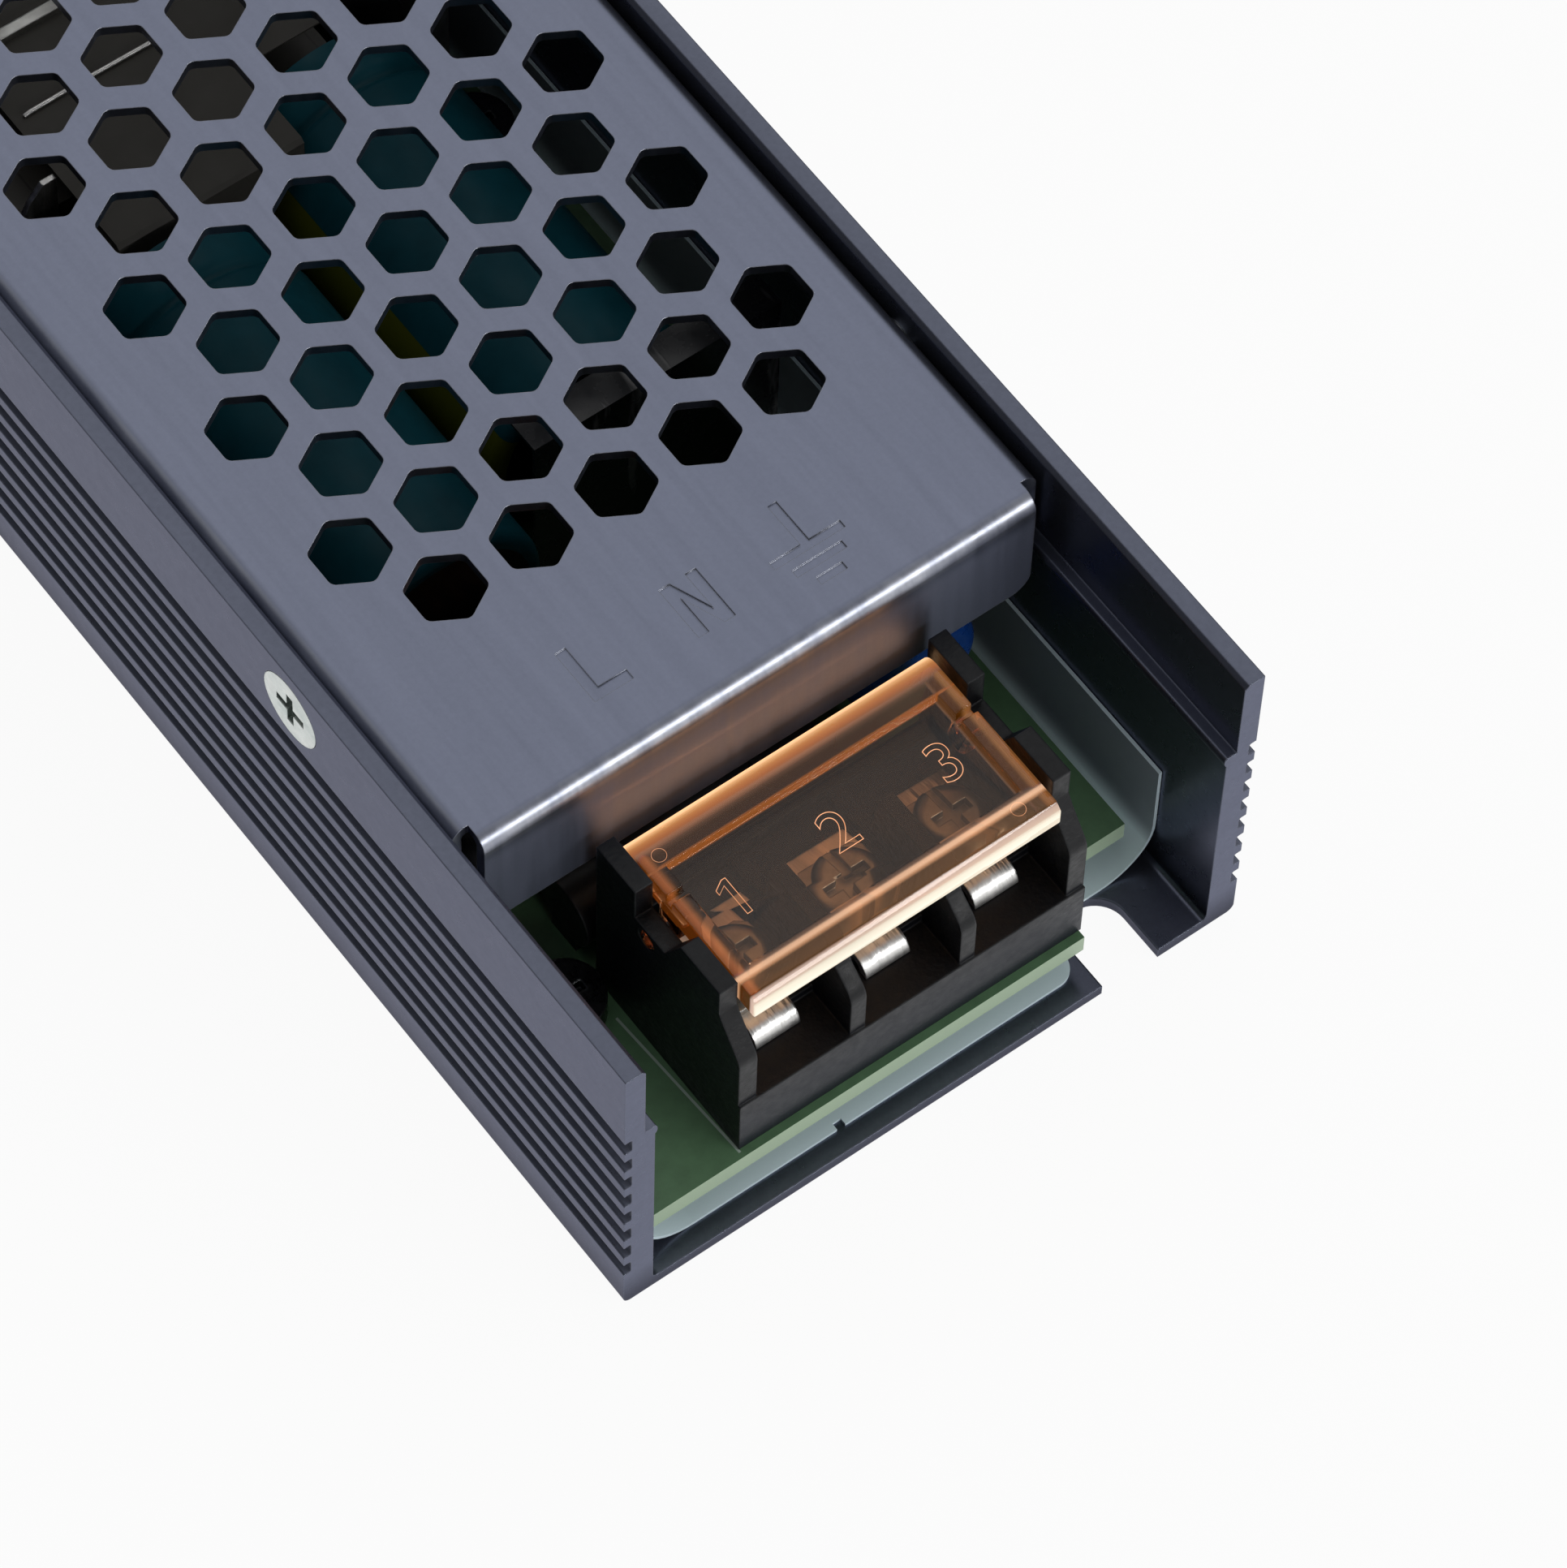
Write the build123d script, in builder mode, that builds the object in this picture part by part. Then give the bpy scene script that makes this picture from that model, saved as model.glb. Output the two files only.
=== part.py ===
from build123d import *
import os

# A slim switching power supply: a ribbed aluminium channel, a perforated
# sheet cover screwed between its walls, a circuit board on an insulating
# film, and at each end a barrier terminal block under a hinged amber cover.
# Origin at the middle of the underside, AC input end at -Y, +Z up.

# Extruded channel
case_length = 193.0
case_width = 48.2
case_height = 28.35
base_thickness = 0.9
upper_wall = 1.5
lower_wall = 2.25
rim_height = 7.65
rib_count = 8
rib_pitch = 2.245
groove_height = 1.3
groove_depth = 0.55
groove_radius = 0.2
groove_below_ledge = 0.6
bead_depth = 0.18
bead_height = 0.9
outer_corner = 0.6
inner_corner = 0.5
rim_chamfer = 0.3
notch_from_wall = 6.15
notch_width = 4.5
notch_depth = 5.75

# Perforated cover
sheet = 0.8
bend_radius = 1.2
cover_gap = 0.3
cover_drop = 1.05
apron_from_end = 18.7
apron_drop = 9.7
apron_corner = 1.5
corner_relief = 0.5
hex_flats = 4.7
hex_pitch = 6.46
hex_row_count = 5
hex_from_apron = 16.0
hex_shift_x = 0.65

# Countersunk cover screws, M3
cover_screw_from_end = 34.85
cover_screw_drop = 3.95
m3_radius = 1.45
m3_hole = 1.5
csk_radius = 2.75
csk_gap = 0.05
cover_screw_length = 5.0
cross_slot = 0.7
cross_depth = 0.8

# Circuit board, its standoffs and the film under it
board_bottom = 3.6
board_thickness = 1.6
board_left_gap = 1.05
board_right_gap = 1.65
board_from_end = 1.7
tongue_gap = 0.4
shoulder_from_end = 6.75
film_thickness = 0.25
film_gap = 0.05
film_bend = 4.3
film_top = 11.6
film_from_end = 1.55
film_tongue_gap = 0.25
film_shoulder = 5.6
film_corner = 1.5
film_nick_x = -6.1
film_nick = (0.65, 0.5)
standoff_radius = 2.7
standoff_from_end = 16.6
standoff_from_block = 0.3
inner_standoff_from_end = 74.0
inner_standoff_from_wall = 4.4
film_hole_gap = 0.4
standoff_spigot = 2.0
board_screw_head = 2.0

# Terminal block with three poles, sizes from its end of the case
block_x = -0.2
poles = 3
pole_pitch = 8.5
partition = 1.15
end_wall = 1.35
block_extra = 1.3
block_front = 2.3
block_rear = 17.4
ledge_height = 10.5
wall_setback = 0.2
seat_height = 0.7
seat_front = 6.4
rear_wall = 1.2
rear_wall_top = 12.4
ear_top = 21.4
ear_front = 4.7
ear_length = 4.0
ear_slope = 1.6
shoulder_low = 15.6
shoulder_high = 18.0
shoulder_step = 1.7
notch_floor = 18.4
partition_top = 18.0

# Contacts, clamp washers and screws of one pole
contact_thickness = 0.7
lip_y = 5.0
lip_radius = 1.3
lip_width = 3.4
plate_width = 5.6
plate_front = 6.9
leg_y = 13.6
leg_width = 3.0
leg_below_board = 0.8
leg_gap = 0.15
screw_y = 9.6
washer_side = 5.4
washer_thickness = 0.6
washer_hole = 1.65
head_radius = 2.5
head_height = 1.6
screw_length = 5.5
screw_slot = 0.8
well_radius = 1.75
well_below_tip = 0.5

# Hinged amber cover
flap_half_width = 11.75
flap_front = 3.35
flap_rear = 17.3
flap_bottom = 18.65
flap_thickness = 1.95
flap_front_chamfer = 0.55
flap_rear_round = 1.2
flap_swing_gap = 0.2
recess_half_width = 10.4
recess_front = 5.8
recess_rear = 14.3
recess_depth = 0.75
hinge_y = 12.2
hinge_z = 17.3
pin_radius = 0.75
pin_clearance = 0.05
lug_thickness = 1.0
lug_radius = 1.0
rim_slot = 0.6

# Trimmer and indicator lamp beside the output block
trimmer_from_end = 9.6
trimmer_side = 4.0
trimmer_height = 4.7
rotor_radius = 1.4
rotor_height = 1.5
rotor_clearance = 0.06
lamp_from_end = 4.2
lamp_radius = 1.5
lamp_height = 4.6

# Parts on the board: each place is (x, distance from the AC end), unless
# its name says that it is measured from an edge or from the DC end
lead_radius = 0.4
fuse_place = (-3.5, 21.0)
fuse_length = 20.0
fuse_radius = 2.6
fuse_tube_radius = 2.3
fuse_cap_length = 5.0
fuse_lift = 0.6
varistor_from_edge = 6.6
varistor_from_end = 21.6
varistor_radius = 4.6
varistor_thickness = 3.6
disc_lift = 2.6
disc_round = 1.0
thermistor_place = (-17.0, 26.0)
thermistor_radius = 3.8
thermistor_thickness = 3.0
safety_cap_places = [(3.6, 26.3), (13.0, 26.3)]
safety_cap_radius = 3.3
safety_cap_thickness = 2.6
line_choke_place = (-8.0, 32.0)
line_choke_outer = 6.6
line_choke_inner = 3.4
line_choke_height = 7.0
winding_wire = 0.9
winding_gap = 2.4
choke_lift = 0.6
line_cap_from_edge = 9.6
line_cap_from_end = 32.5
line_cap_size = (16.0, 8.0, 14.5)
box_round = 0.6
strip_from_end = 43.6
strip_left = 0.6
strip_from_edge = 0.2
strip_top = 20.4
strip_return = 2.6
bulk_radius = 8.0
bulk_length = 30.0
bulk_places = [(-9.4, 39.8), (7.3, 46.5)]
bulk_lift = 0.3
bulk_round = 0.8
crimp_depth = 0.6
crimp_width = 1.6
crimp_from_end = 3.0
bulk_lead_spread = 3.75
bulk_lead_reach = 0.9
bulk_lead_bend = 0.5
snubber_place = (-8.5, 73.8)
snubber_size = (11.0, 5.0, 14.0)
transformer_place = (-2.6, 89.2)
core_length = 24.0
core_width = 21.0
core_height = 8.0
core_z = 9.2
centre_leg = 6.0
core_window = 5.0
window_length = 15.0
bobbin_wall = 0.9
bobbin_top = 21.0
flange_gap = 0.2
winding_top = 20.2
winding_round = 2.0
clip_radius = 0.4
clip_gap = 0.3
bridge_from_edge = 1.9
bridge_from_end = 80.2
bridge_size = (3.4, 15.0, 11.5)
sink_thickness = 2.5
sink_length = 27.0
primary_sink_gap = 1.05
primary_sink_from_end = 92.0
output_sink_from_edge = 2.6
output_sink_from_dc_end = 57.3
transistor_size = (4.4, 10.0, 15.0)
transistor_lift = 0.4
transistor_spacing = 13.0
pin_pitch = 2.54
spring_width = 4.0
spring_thickness = 0.5
output_choke_x = 4.0
output_choke_outer = 9.5
output_choke_inner = 4.6
output_choke_height = 8.0
output_cap_radius = 5.0
output_cap_headroom = 1.8
output_cap_from_edge_and_dc_end = [(5.7, 39.0), (15.8, 39.0), (25.9, 39.0), (7.0, 28.2), (17.4, 28.2)]
filter_choke_from_edge = 28.7
filter_choke_from_dc_end = 28.5
filter_choke_radius = 5.0
filter_choke_waist = 3.6
filter_choke_height = 9.0
filter_choke_rim = 1.2
opto_place = (-9.3, 104.6)
opto_size = (4.6, 6.5, 3.5)
chip_place = (-9.3, 112.0)
chip_size = (4.0, 5.0, 1.6)

half_length = case_length / 2
half_width = case_width / 2
ledge_z = case_height - rim_height
top_groove_z = ledge_z - groove_below_ledge
wall_inner = half_width - lower_wall
upper_inner = half_width - upper_wall
notch_x = wall_inner - notch_from_wall
board_top = board_bottom + board_thickness
board_left = board_left_gap - wall_inner
board_right = wall_inner - board_right_gap
tongue_edge_x = notch_x - notch_width / 2 - tongue_gap
film_tongue_x = tongue_edge_x - film_tongue_gap
inner_standoff_x = wall_inner - inner_standoff_from_wall
cover_screw_z = case_height - cover_screw_drop
contact_top = ledge_height + seat_height + contact_thickness
block_width = poles * pole_pitch + block_extra
pole_x = [(i - (poles - 1) / 2) * pole_pitch for i in range(poles)]
flap_top = flap_bottom + flap_thickness
cover_top = case_height - cover_drop
output_cap_height = cover_top - sheet - output_cap_headroom - board_top
block_reach = block_width / 2 - block_x
standoff_x = block_reach + standoff_from_block + standoff_radius
strip_x = (board_right + block_reach) / 2
output_cap_places = [(board_right - x, case_length - y) for x, y in output_cap_from_edge_and_dc_end]
filter_choke_place = (board_right - filter_choke_from_edge, case_length - filter_choke_from_dc_end)
transformer_end = transformer_place[1] + core_width / 2
output_caps_start = min(y for x, y in output_cap_places) - output_cap_radius
output_choke_place = (output_choke_x, (transformer_end + output_caps_start) / 2)
varistor_place = (board_right - varistor_from_edge, varistor_from_end)
line_cap_place = (board_right - line_cap_from_edge, line_cap_from_end)
bridge_place = (board_left + bridge_from_edge, bridge_from_end)
output_sink = (board_left + output_sink_from_edge, case_length - output_sink_from_dc_end)
device_reach = transistor_size[0] + spring_thickness + sink_thickness / 2
primary_sink = (
    transformer_place[0] + core_length / 2 + 2 * clip_radius + primary_sink_gap + device_reach,
    primary_sink_from_end,
)

# The block, its contacts and its cover are drawn once, in a frame whose
# y is the distance from the end of the case, and put at both ends.
ends = {
    "ac": Location((block_x, -half_length, 0)),
    "dc": Location((-block_x, half_length, 0), (0, 0, 180)),
}


def save(solid, name):
    solid.label = name
    export_step(solid, f"parts/{name}.step")


def from_end(distance):
    return distance - half_length


# Four places that hold the board: turning the unit end for end swaps them
standoff_places = [
    (-standoff_x, from_end(standoff_from_end)),
    (inner_standoff_x, from_end(inner_standoff_from_end)),
    (standoff_x, -from_end(standoff_from_end)),
    (-inner_standoff_x, -from_end(inner_standoff_from_end)),
]


os.makedirs("parts", exist_ok=True)

# Extruded channel: thick ribbed lower walls, a ledge inside, thinner rims
with BuildPart() as case:
    with BuildSketch(Plane.XZ.offset(half_length)) as profile:
        with BuildLine():
            Polyline(
                (0, 0),
                (half_width, 0),
                (half_width, case_height),
                (upper_inner, case_height),
                (upper_inner, ledge_z),
                (wall_inner, ledge_z),
                (wall_inner, base_thickness),
                (0, base_thickness),
                close=True,
            )
        make_face()
        corners = profile.vertices()
        fillet(corners.sort_by_distance((half_width, 0))[0], outer_corner)
        corners = profile.vertices()
        fillet(corners.sort_by_distance((wall_inner, base_thickness))[0], inner_corner)
        corners = profile.vertices()
        chamfer(corners.sort_by_distance((upper_inner, case_height))[0], rim_chamfer)
        with Locations((half_width, top_groove_z - (rib_count - 1) * rib_pitch / 2)):
            with GridLocations(1, rib_pitch, 1, rib_count):
                RectangleRounded(2 * groove_depth, groove_height, groove_radius, mode=Mode.SUBTRACT)
        with Locations((wall_inner, ledge_z - bead_height / 2)):
            Ellipse(bead_depth, bead_height / 2)
        mirror(about=Plane.YZ)
    extrude(amount=-case_length)
    with BuildSketch(Plane.XY):
        with Locations((notch_x, -half_length), (-notch_x, half_length)):
            SlotOverall(2 * notch_depth, notch_width, rotation=90)
    extrude(amount=base_thickness, mode=Mode.SUBTRACT)
    cover_screw_places = [
        Plane(origin=(side * half_width, end * from_end(cover_screw_from_end), cover_screw_z),
              z_dir=(side, 0, 0))
        for side in (-1, 1)
        for end in (-1, 1)
    ]
    with Locations(*cover_screw_places):
        CounterSinkHole(m3_hole, csk_radius + csk_gap, upper_wall)
    with Locations(*[(x, y, base_thickness) for x, y in standoff_places]):
        Hole(standoff_spigot, base_thickness)
save(case.part, "case_extrusion")

# Cover screws: flat heads flush with the walls, threaded into the flanges
with BuildPart() as cover_screws:
    for place in cover_screw_places:
        with BuildSketch(place.offset(-cover_screw_length)):
            Circle(m3_radius)
        extrude(amount=cover_screw_length)
        with BuildSketch(place.offset(-(csk_radius - m3_radius))):
            Circle(m3_radius)
        extrude(amount=csk_radius - m3_radius, taper=-45)
        with BuildSketch(place):
            Rectangle(2 * m3_radius, cross_slot)
            Rectangle(cross_slot, 2 * m3_radius)
        extrude(amount=-cross_depth, mode=Mode.SUBTRACT)
save(cover_screws.part, "cover_screws")

# Perforated cover: one folded sheet with two side flanges and two aprons
cover_half = upper_inner - cover_gap
apron_end = from_end(apron_from_end)
flange_end = apron_end + bend_radius + corner_relief
apron_half = cover_half - sheet - corner_relief
row_pitch = hex_pitch * 3 ** 0.5 / 2
hex_rows = 2 * int((-apron_end - hex_from_apron) / row_pitch) + 1
hex_centres = []
for row in range(hex_rows):
    in_row = hex_row_count + row % 2
    for i in range(in_row):
        hex_centres.append(
            (hex_shift_x + (i - (in_row - 1) / 2) * hex_pitch, (row - (hex_rows - 1) / 2) * row_pitch)
        )
with BuildPart() as mesh_cover:
    with BuildSketch(Plane.XZ.offset(-flange_end)) as flanges:
        with BuildLine():
            Polyline(
                (-cover_half, ledge_z),
                (-cover_half, cover_top),
                (cover_half, cover_top),
                (cover_half, ledge_z),
                (cover_half - sheet, ledge_z),
                (cover_half - sheet, cover_top - sheet),
                (-cover_half + sheet, cover_top - sheet),
                (-cover_half + sheet, ledge_z),
                close=True,
            )
        make_face()
        fillet(flanges.vertices().group_by(Axis.Y)[-2], bend_radius - sheet)
        fillet(flanges.vertices().group_by(Axis.Y)[-1], bend_radius)
    extrude(amount=2 * flange_end)
    with BuildSketch(Plane.YZ.offset(-apron_half)) as aprons:
        with BuildLine():
            Polyline(
                (apron_end, cover_top - apron_drop),
                (apron_end, cover_top),
                (-apron_end, cover_top),
                (-apron_end, cover_top - apron_drop),
                (-apron_end - sheet, cover_top - apron_drop),
                (-apron_end - sheet, cover_top - sheet),
                (apron_end + sheet, cover_top - sheet),
                (apron_end + sheet, cover_top - apron_drop),
                close=True,
            )
        make_face()
        fillet(aprons.vertices().group_by(Axis.Y)[-2], bend_radius - sheet)
        fillet(aprons.vertices().group_by(Axis.Y)[-1], bend_radius)
    extrude(amount=2 * apron_half)
    apron_bottom = cover_top - apron_drop
    apron_corners = mesh_cover.edges().filter_by(Axis.Y).filter_by(
        lambda edge: abs(edge.center().Z - apron_bottom) < sheet / 2)
    fillet(apron_corners, apron_corner)
    with BuildSketch(Plane.XY.offset(cover_top)):
        with Locations(*hex_centres):
            RegularPolygon(hex_flats / 2, 6, major_radius=False, rotation=30)
    extrude(amount=-sheet, mode=Mode.SUBTRACT)
    with Locations(*[place.offset(-upper_wall) for place in cover_screw_places]):
        Hole(m3_hole, upper_wall)
save(mesh_cover.part, "mesh_cover")

# Insulating film: lies on the base, curls up both walls, clears the notches
film_half = wall_inner - film_gap
with BuildPart() as film:
    with BuildSketch(Plane.XZ.offset(-from_end(film_from_end))):
        with Locations((0, base_thickness)):
            RectangleRounded(2 * film_half, 4 * film_bend, film_bend, align=(Align.CENTER, Align.MIN))
        with Locations((0, base_thickness + film_thickness)):
            RectangleRounded(2 * (film_half - film_thickness), 4 * film_bend, film_bend - film_thickness,
                             align=(Align.CENTER, Align.MIN), mode=Mode.SUBTRACT)
        with Locations((0, film_top)):
            Rectangle(case_width, case_height, align=(Align.CENTER, Align.MIN), mode=Mode.SUBTRACT)
    extrude(amount=2 * from_end(film_from_end))
    with BuildSketch(Plane.XY):
        with PolarLocations(0, 2):
            with Locations((film_tongue_x, -half_length)):
                Rectangle(case_width / 2, film_shoulder, align=(Align.MIN, Align.MIN))
            with Locations((film_nick_x, from_end(film_from_end))):
                Rectangle(*film_nick, align=(Align.CENTER, Align.MIN))
    extrude(amount=case_height, mode=Mode.SUBTRACT)
    for side in (-1, 1):
        tip = (-side * film_tongue_x, side * from_end(film_from_end) * -1, base_thickness)
        fillet(film.edges().filter_by(Axis.Z).sort_by_distance(tip)[0], film_corner)
    with BuildSketch(Plane.XY):
        with Locations(*standoff_places):
            Circle(standoff_radius + film_hole_gap)
    extrude(amount=case_height, mode=Mode.SUBTRACT)
save(film.part, "insulating_film")

# Circuit board, cut back at two corners to clear the mounting notches
with BuildPart() as board:
    with BuildSketch(Plane.XY.offset(board_bottom)) as outline:
        with BuildLine():
            Polyline(
                (board_left, from_end(board_from_end)),
                (tongue_edge_x, from_end(board_from_end)),
                (tongue_edge_x, from_end(shoulder_from_end)),
                (board_right, from_end(shoulder_from_end)),
                (board_right, -from_end(board_from_end)),
                (-tongue_edge_x, -from_end(board_from_end)),
                (-tongue_edge_x, -from_end(shoulder_from_end)),
                (board_left, -from_end(shoulder_from_end)),
                close=True,
            )
        make_face()
        with Locations(*standoff_places):
            Circle(m3_hole, mode=Mode.SUBTRACT)
        for place in ends.values():
            with Locations(place):
                with Locations(*[(x, leg_y - contact_thickness / 2) for x in pole_x]):
                    Rectangle(leg_width + 2 * leg_gap, contact_thickness + 2 * leg_gap, mode=Mode.SUBTRACT)
    extrude(amount=board_thickness)
save(board.part, "circuit_board")

with BuildPart() as standoffs:
    for x, y in standoff_places:
        with Locations((x, y, base_thickness)):
            Cylinder(standoff_radius, board_bottom - base_thickness,
                     align=(Align.CENTER, Align.CENTER, Align.MIN))
        with Locations((x, y, 0)):
            Cylinder(standoff_spigot - csk_gap, base_thickness, align=(Align.CENTER, Align.CENTER, Align.MIN))
    with Locations(*[(x, y, board_bottom) for x, y in standoff_places]):
        Hole(m3_hole, board_bottom)
save(standoffs.part, "board_standoffs")

with BuildPart() as board_screws:
    for x, y in standoff_places:
        with Locations((x, y, board_top)):
            Cylinder(standoff_radius, board_screw_head, align=(Align.CENTER, Align.CENTER, Align.MIN))
        with Locations((x, y, board_top)):
            Cylinder(m3_radius, board_top - base_thickness, align=(Align.CENTER, Align.CENTER, Align.MAX))
    with BuildSketch(Plane.XY.offset(board_top + board_screw_head)):
        with Locations(*standoff_places):
            Rectangle(2 * m3_radius, cross_slot)
            Rectangle(cross_slot, 2 * m3_radius)
    extrude(amount=-cross_depth, mode=Mode.SUBTRACT)
save(board_screws.part, "board_screws")

# Barrier terminal block: a base with a front ledge, end walls with two ears
# and a hinge hole between them, and low partitions between the poles
wall_front = block_front + wall_setback
half_block = block_width / 2
partition_rear_top = hinge_z - (flap_rear - hinge_y) - flap_swing_gap
with BuildPart() as block:
    with BuildSketch(Plane.XY.offset(board_top)):
        with Locations((0, block_front)):
            Rectangle(block_width, block_rear - block_front, align=(Align.CENTER, Align.MIN))
    extrude(amount=ledge_height - board_top)
    with BuildSketch(Plane.XY.offset(ledge_height)):
        with Locations((0, seat_front)):
            Rectangle(block_width, block_rear - seat_front, align=(Align.CENTER, Align.MIN))
    extrude(amount=seat_height)
    with BuildSketch(Plane.XY.offset(ledge_height)):
        with Locations((0, block_rear)):
            Rectangle(block_width, rear_wall, align=(Align.CENTER, Align.MAX))
    extrude(amount=rear_wall_top - ledge_height)
    with BuildSketch(Plane.YZ.offset(-half_block)) as ears:
        with BuildLine():
            Polyline(
                (wall_front, ledge_height),
                (wall_front, shoulder_low),
                (wall_front + shoulder_step, shoulder_high),
                (ear_front, shoulder_high + shoulder_step / 2),
                (ear_front, ear_top),
                (ear_front + ear_length, ear_top),
                (ear_front + ear_length + ear_slope, notch_floor),
                (block_rear - ear_length, notch_floor),
                (block_rear - ear_length, ear_top),
                (block_rear, ear_top),
                (block_rear, ledge_height),
                close=True,
            )
        make_face()
        fillet(ears.vertices().sort_by_distance((wall_front, shoulder_low))[0], shoulder_step)
        with Locations((hinge_y, hinge_z)):
            Circle(pin_radius + pin_clearance, mode=Mode.SUBTRACT)
    extrude(amount=end_wall)
    mirror(about=Plane.YZ)
    for x in [(i - (poles - 2) / 2) * pole_pitch for i in range(poles - 1)]:
        with BuildSketch(Plane.YZ.offset(x - partition / 2)) as rib:
            with BuildLine():
                Polyline(
                    (wall_front, ledge_height),
                    (wall_front, shoulder_low - shoulder_step / 2),
                    (wall_front + shoulder_step, shoulder_high - shoulder_step),
                    (ear_front, partition_top),
                    (hinge_y - lug_radius, partition_top),
                    (hinge_y, partition_rear_top),
                    (block_rear, partition_rear_top),
                    (block_rear, ledge_height),
                    close=True,
                )
            make_face()
            fillet(rib.vertices().sort_by_distance((wall_front, shoulder_low - shoulder_step / 2))[0],
                   shoulder_step)
        extrude(amount=partition)
    well_floor = contact_top + washer_thickness - screw_length - well_below_tip
    with Locations(*[(x, screw_y, ledge_height + seat_height) for x in pole_x]):
        Hole(well_radius, ledge_height + seat_height - well_floor)
    with BuildSketch(Plane.XY.offset(board_top)):
        with Locations(*[(x, leg_y - contact_thickness / 2) for x in pole_x]):
            Rectangle(leg_width + 2 * leg_gap, contact_thickness + 2 * leg_gap)
    extrude(amount=ledge_height, mode=Mode.SUBTRACT)

# Contacts: a rolled front lip, a plate under the screw, a leg to the board
with BuildPart() as contacts:
    for x in pole_x:
        with BuildSketch(Plane.YZ.offset(x - lip_width / 2)):
            with BuildLine():
                lip_bottom = contact_top - lip_radius
                l1 = Line((leg_y, contact_top), (lip_y + lip_radius, contact_top))
                l2 = JernArc(l1 @ 1, l1 % 1, lip_radius, 90)
                l3 = Line(l2 @ 1, (lip_y + contact_thickness, lip_bottom))
                l4 = JernArc(l3 @ 1, (0, 1), lip_radius - contact_thickness, -90)
                Polyline(l4 @ 1, (leg_y, contact_top - contact_thickness), l1 @ 0)
            make_face()
        extrude(amount=lip_width)
        with BuildSketch(Plane.XY.offset(contact_top - contact_thickness)):
            with Locations((x, plate_front)):
                Rectangle(plate_width, leg_y - plate_front, align=(Align.CENTER, Align.MIN))
        extrude(amount=contact_thickness)
        with BuildSketch(Plane.XY.offset(board_bottom - leg_below_board)):
            with Locations((x, leg_y)):
                Rectangle(leg_width, contact_thickness, align=(Align.CENTER, Align.MAX))
        extrude(amount=contact_top - board_bottom + leg_below_board)
    with Locations(*[(x, screw_y, contact_top) for x in pole_x]):
        Hole(m3_hole, contact_thickness)

# Hinged cover: a clear plate with a raised rim, cut at both ends above its
# hinge lugs, whose pins turn in the end walls of the block
with BuildPart() as flap:
    with BuildSketch(Plane.XY.offset(flap_bottom)):
        with Locations((0, flap_front)):
            Rectangle(2 * flap_half_width, flap_rear - flap_front, align=(Align.CENTER, Align.MIN))
    extrude(amount=flap_thickness)
    top_edges = flap.faces().sort_by(Axis.Z)[-1].edges().filter_by(Axis.X).sort_by(Axis.Y)
    chamfer(top_edges[0], flap_front_chamfer)
    top_edges = flap.faces().sort_by(Axis.Z)[-1].edges().filter_by(Axis.X).sort_by(Axis.Y)
    fillet(top_edges[-1], flap_rear_round)
    with BuildSketch(Plane.XY.offset(flap_top)):
        with Locations((0, recess_front)):
            Rectangle(2 * recess_half_width, recess_rear - recess_front, align=(Align.CENTER, Align.MIN))
    extrude(amount=-recess_depth, mode=Mode.SUBTRACT)
    with BuildSketch(Plane.XY.offset(flap_top)):
        with Locations((0, hinge_y)):
            Rectangle(2 * flap_half_width, rim_slot)
    extrude(amount=-recess_depth, mode=Mode.SUBTRACT)
    with BuildSketch(Plane.YZ.offset(-flap_half_width)):
        with Locations((hinge_y, hinge_z)):
            Circle(lug_radius)
            Rectangle(2 * lug_radius, flap_bottom - hinge_z, align=(Align.CENTER, Align.MIN))
    extrude(amount=lug_thickness)
    with BuildSketch(Plane.YZ.offset(-half_block)):
        with Locations((hinge_y, hinge_z)):
            Circle(pin_radius)
    extrude(amount=half_block - flap_half_width)
    mirror(about=Plane.YZ)

for end, place in ends.items():
    save(block.part.moved(place), f"{end}_terminal_block")
    save(contacts.part.moved(place), f"{end}_contacts")
    save(flap.part.moved(place), f"{end}_terminal_cover")
    for pole, x in enumerate(pole_x, 1):
        # Square clamp washer, held by the screw but not turned by it
        with BuildPart() as washer:
            with BuildSketch(Plane.XY.offset(contact_top)) as square:
                with Locations((x, screw_y)):
                    Rectangle(washer_side, washer_side)
                chamfer(square.vertices(), washer_thickness)
                with Locations((x, screw_y)):
                    Circle(washer_hole, mode=Mode.SUBTRACT)
            extrude(amount=washer_thickness)
        save(washer.part.moved(place), f"{end}_clamp_washer_{pole}")
        # Pan head screw with a slot and a cross in one recess
        with BuildPart() as screw:
            with Locations((x, screw_y, contact_top + washer_thickness)):
                Cylinder(head_radius, head_height, align=(Align.CENTER, Align.CENTER, Align.MIN))
            fillet(screw.faces().sort_by(Axis.Z)[-1].edges(), screw_slot)
            with Locations((x, screw_y, contact_top + washer_thickness)):
                Cylinder(m3_radius, screw_length, align=(Align.CENTER, Align.CENTER, Align.MAX))
            with BuildSketch(Plane.XY.offset(contact_top + washer_thickness + head_height)):
                with Locations((x, screw_y)):
                    Rectangle(screw_slot, 2 * head_radius)
                    Rectangle(2 * m3_radius, screw_slot)
            extrude(amount=-screw_slot, mode=Mode.SUBTRACT)
        save(screw.part.moved(place), f"{end}_terminal_screw_{pole}")


def leads(*places, top):
    """Straight wire leads from the board's top up into the part being made."""
    with Locations(*[(x, from_end(y), board_top) for x, y in places]):
        Cylinder(lead_radius, top - board_top, align=(Align.CENTER, Align.CENTER, Align.MIN))


def box_on_board(place, size):
    with Locations((place[0], from_end(place[1]), board_top)):
        Box(*size, align=(Align.CENTER, Align.CENTER, Align.MIN))


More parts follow.
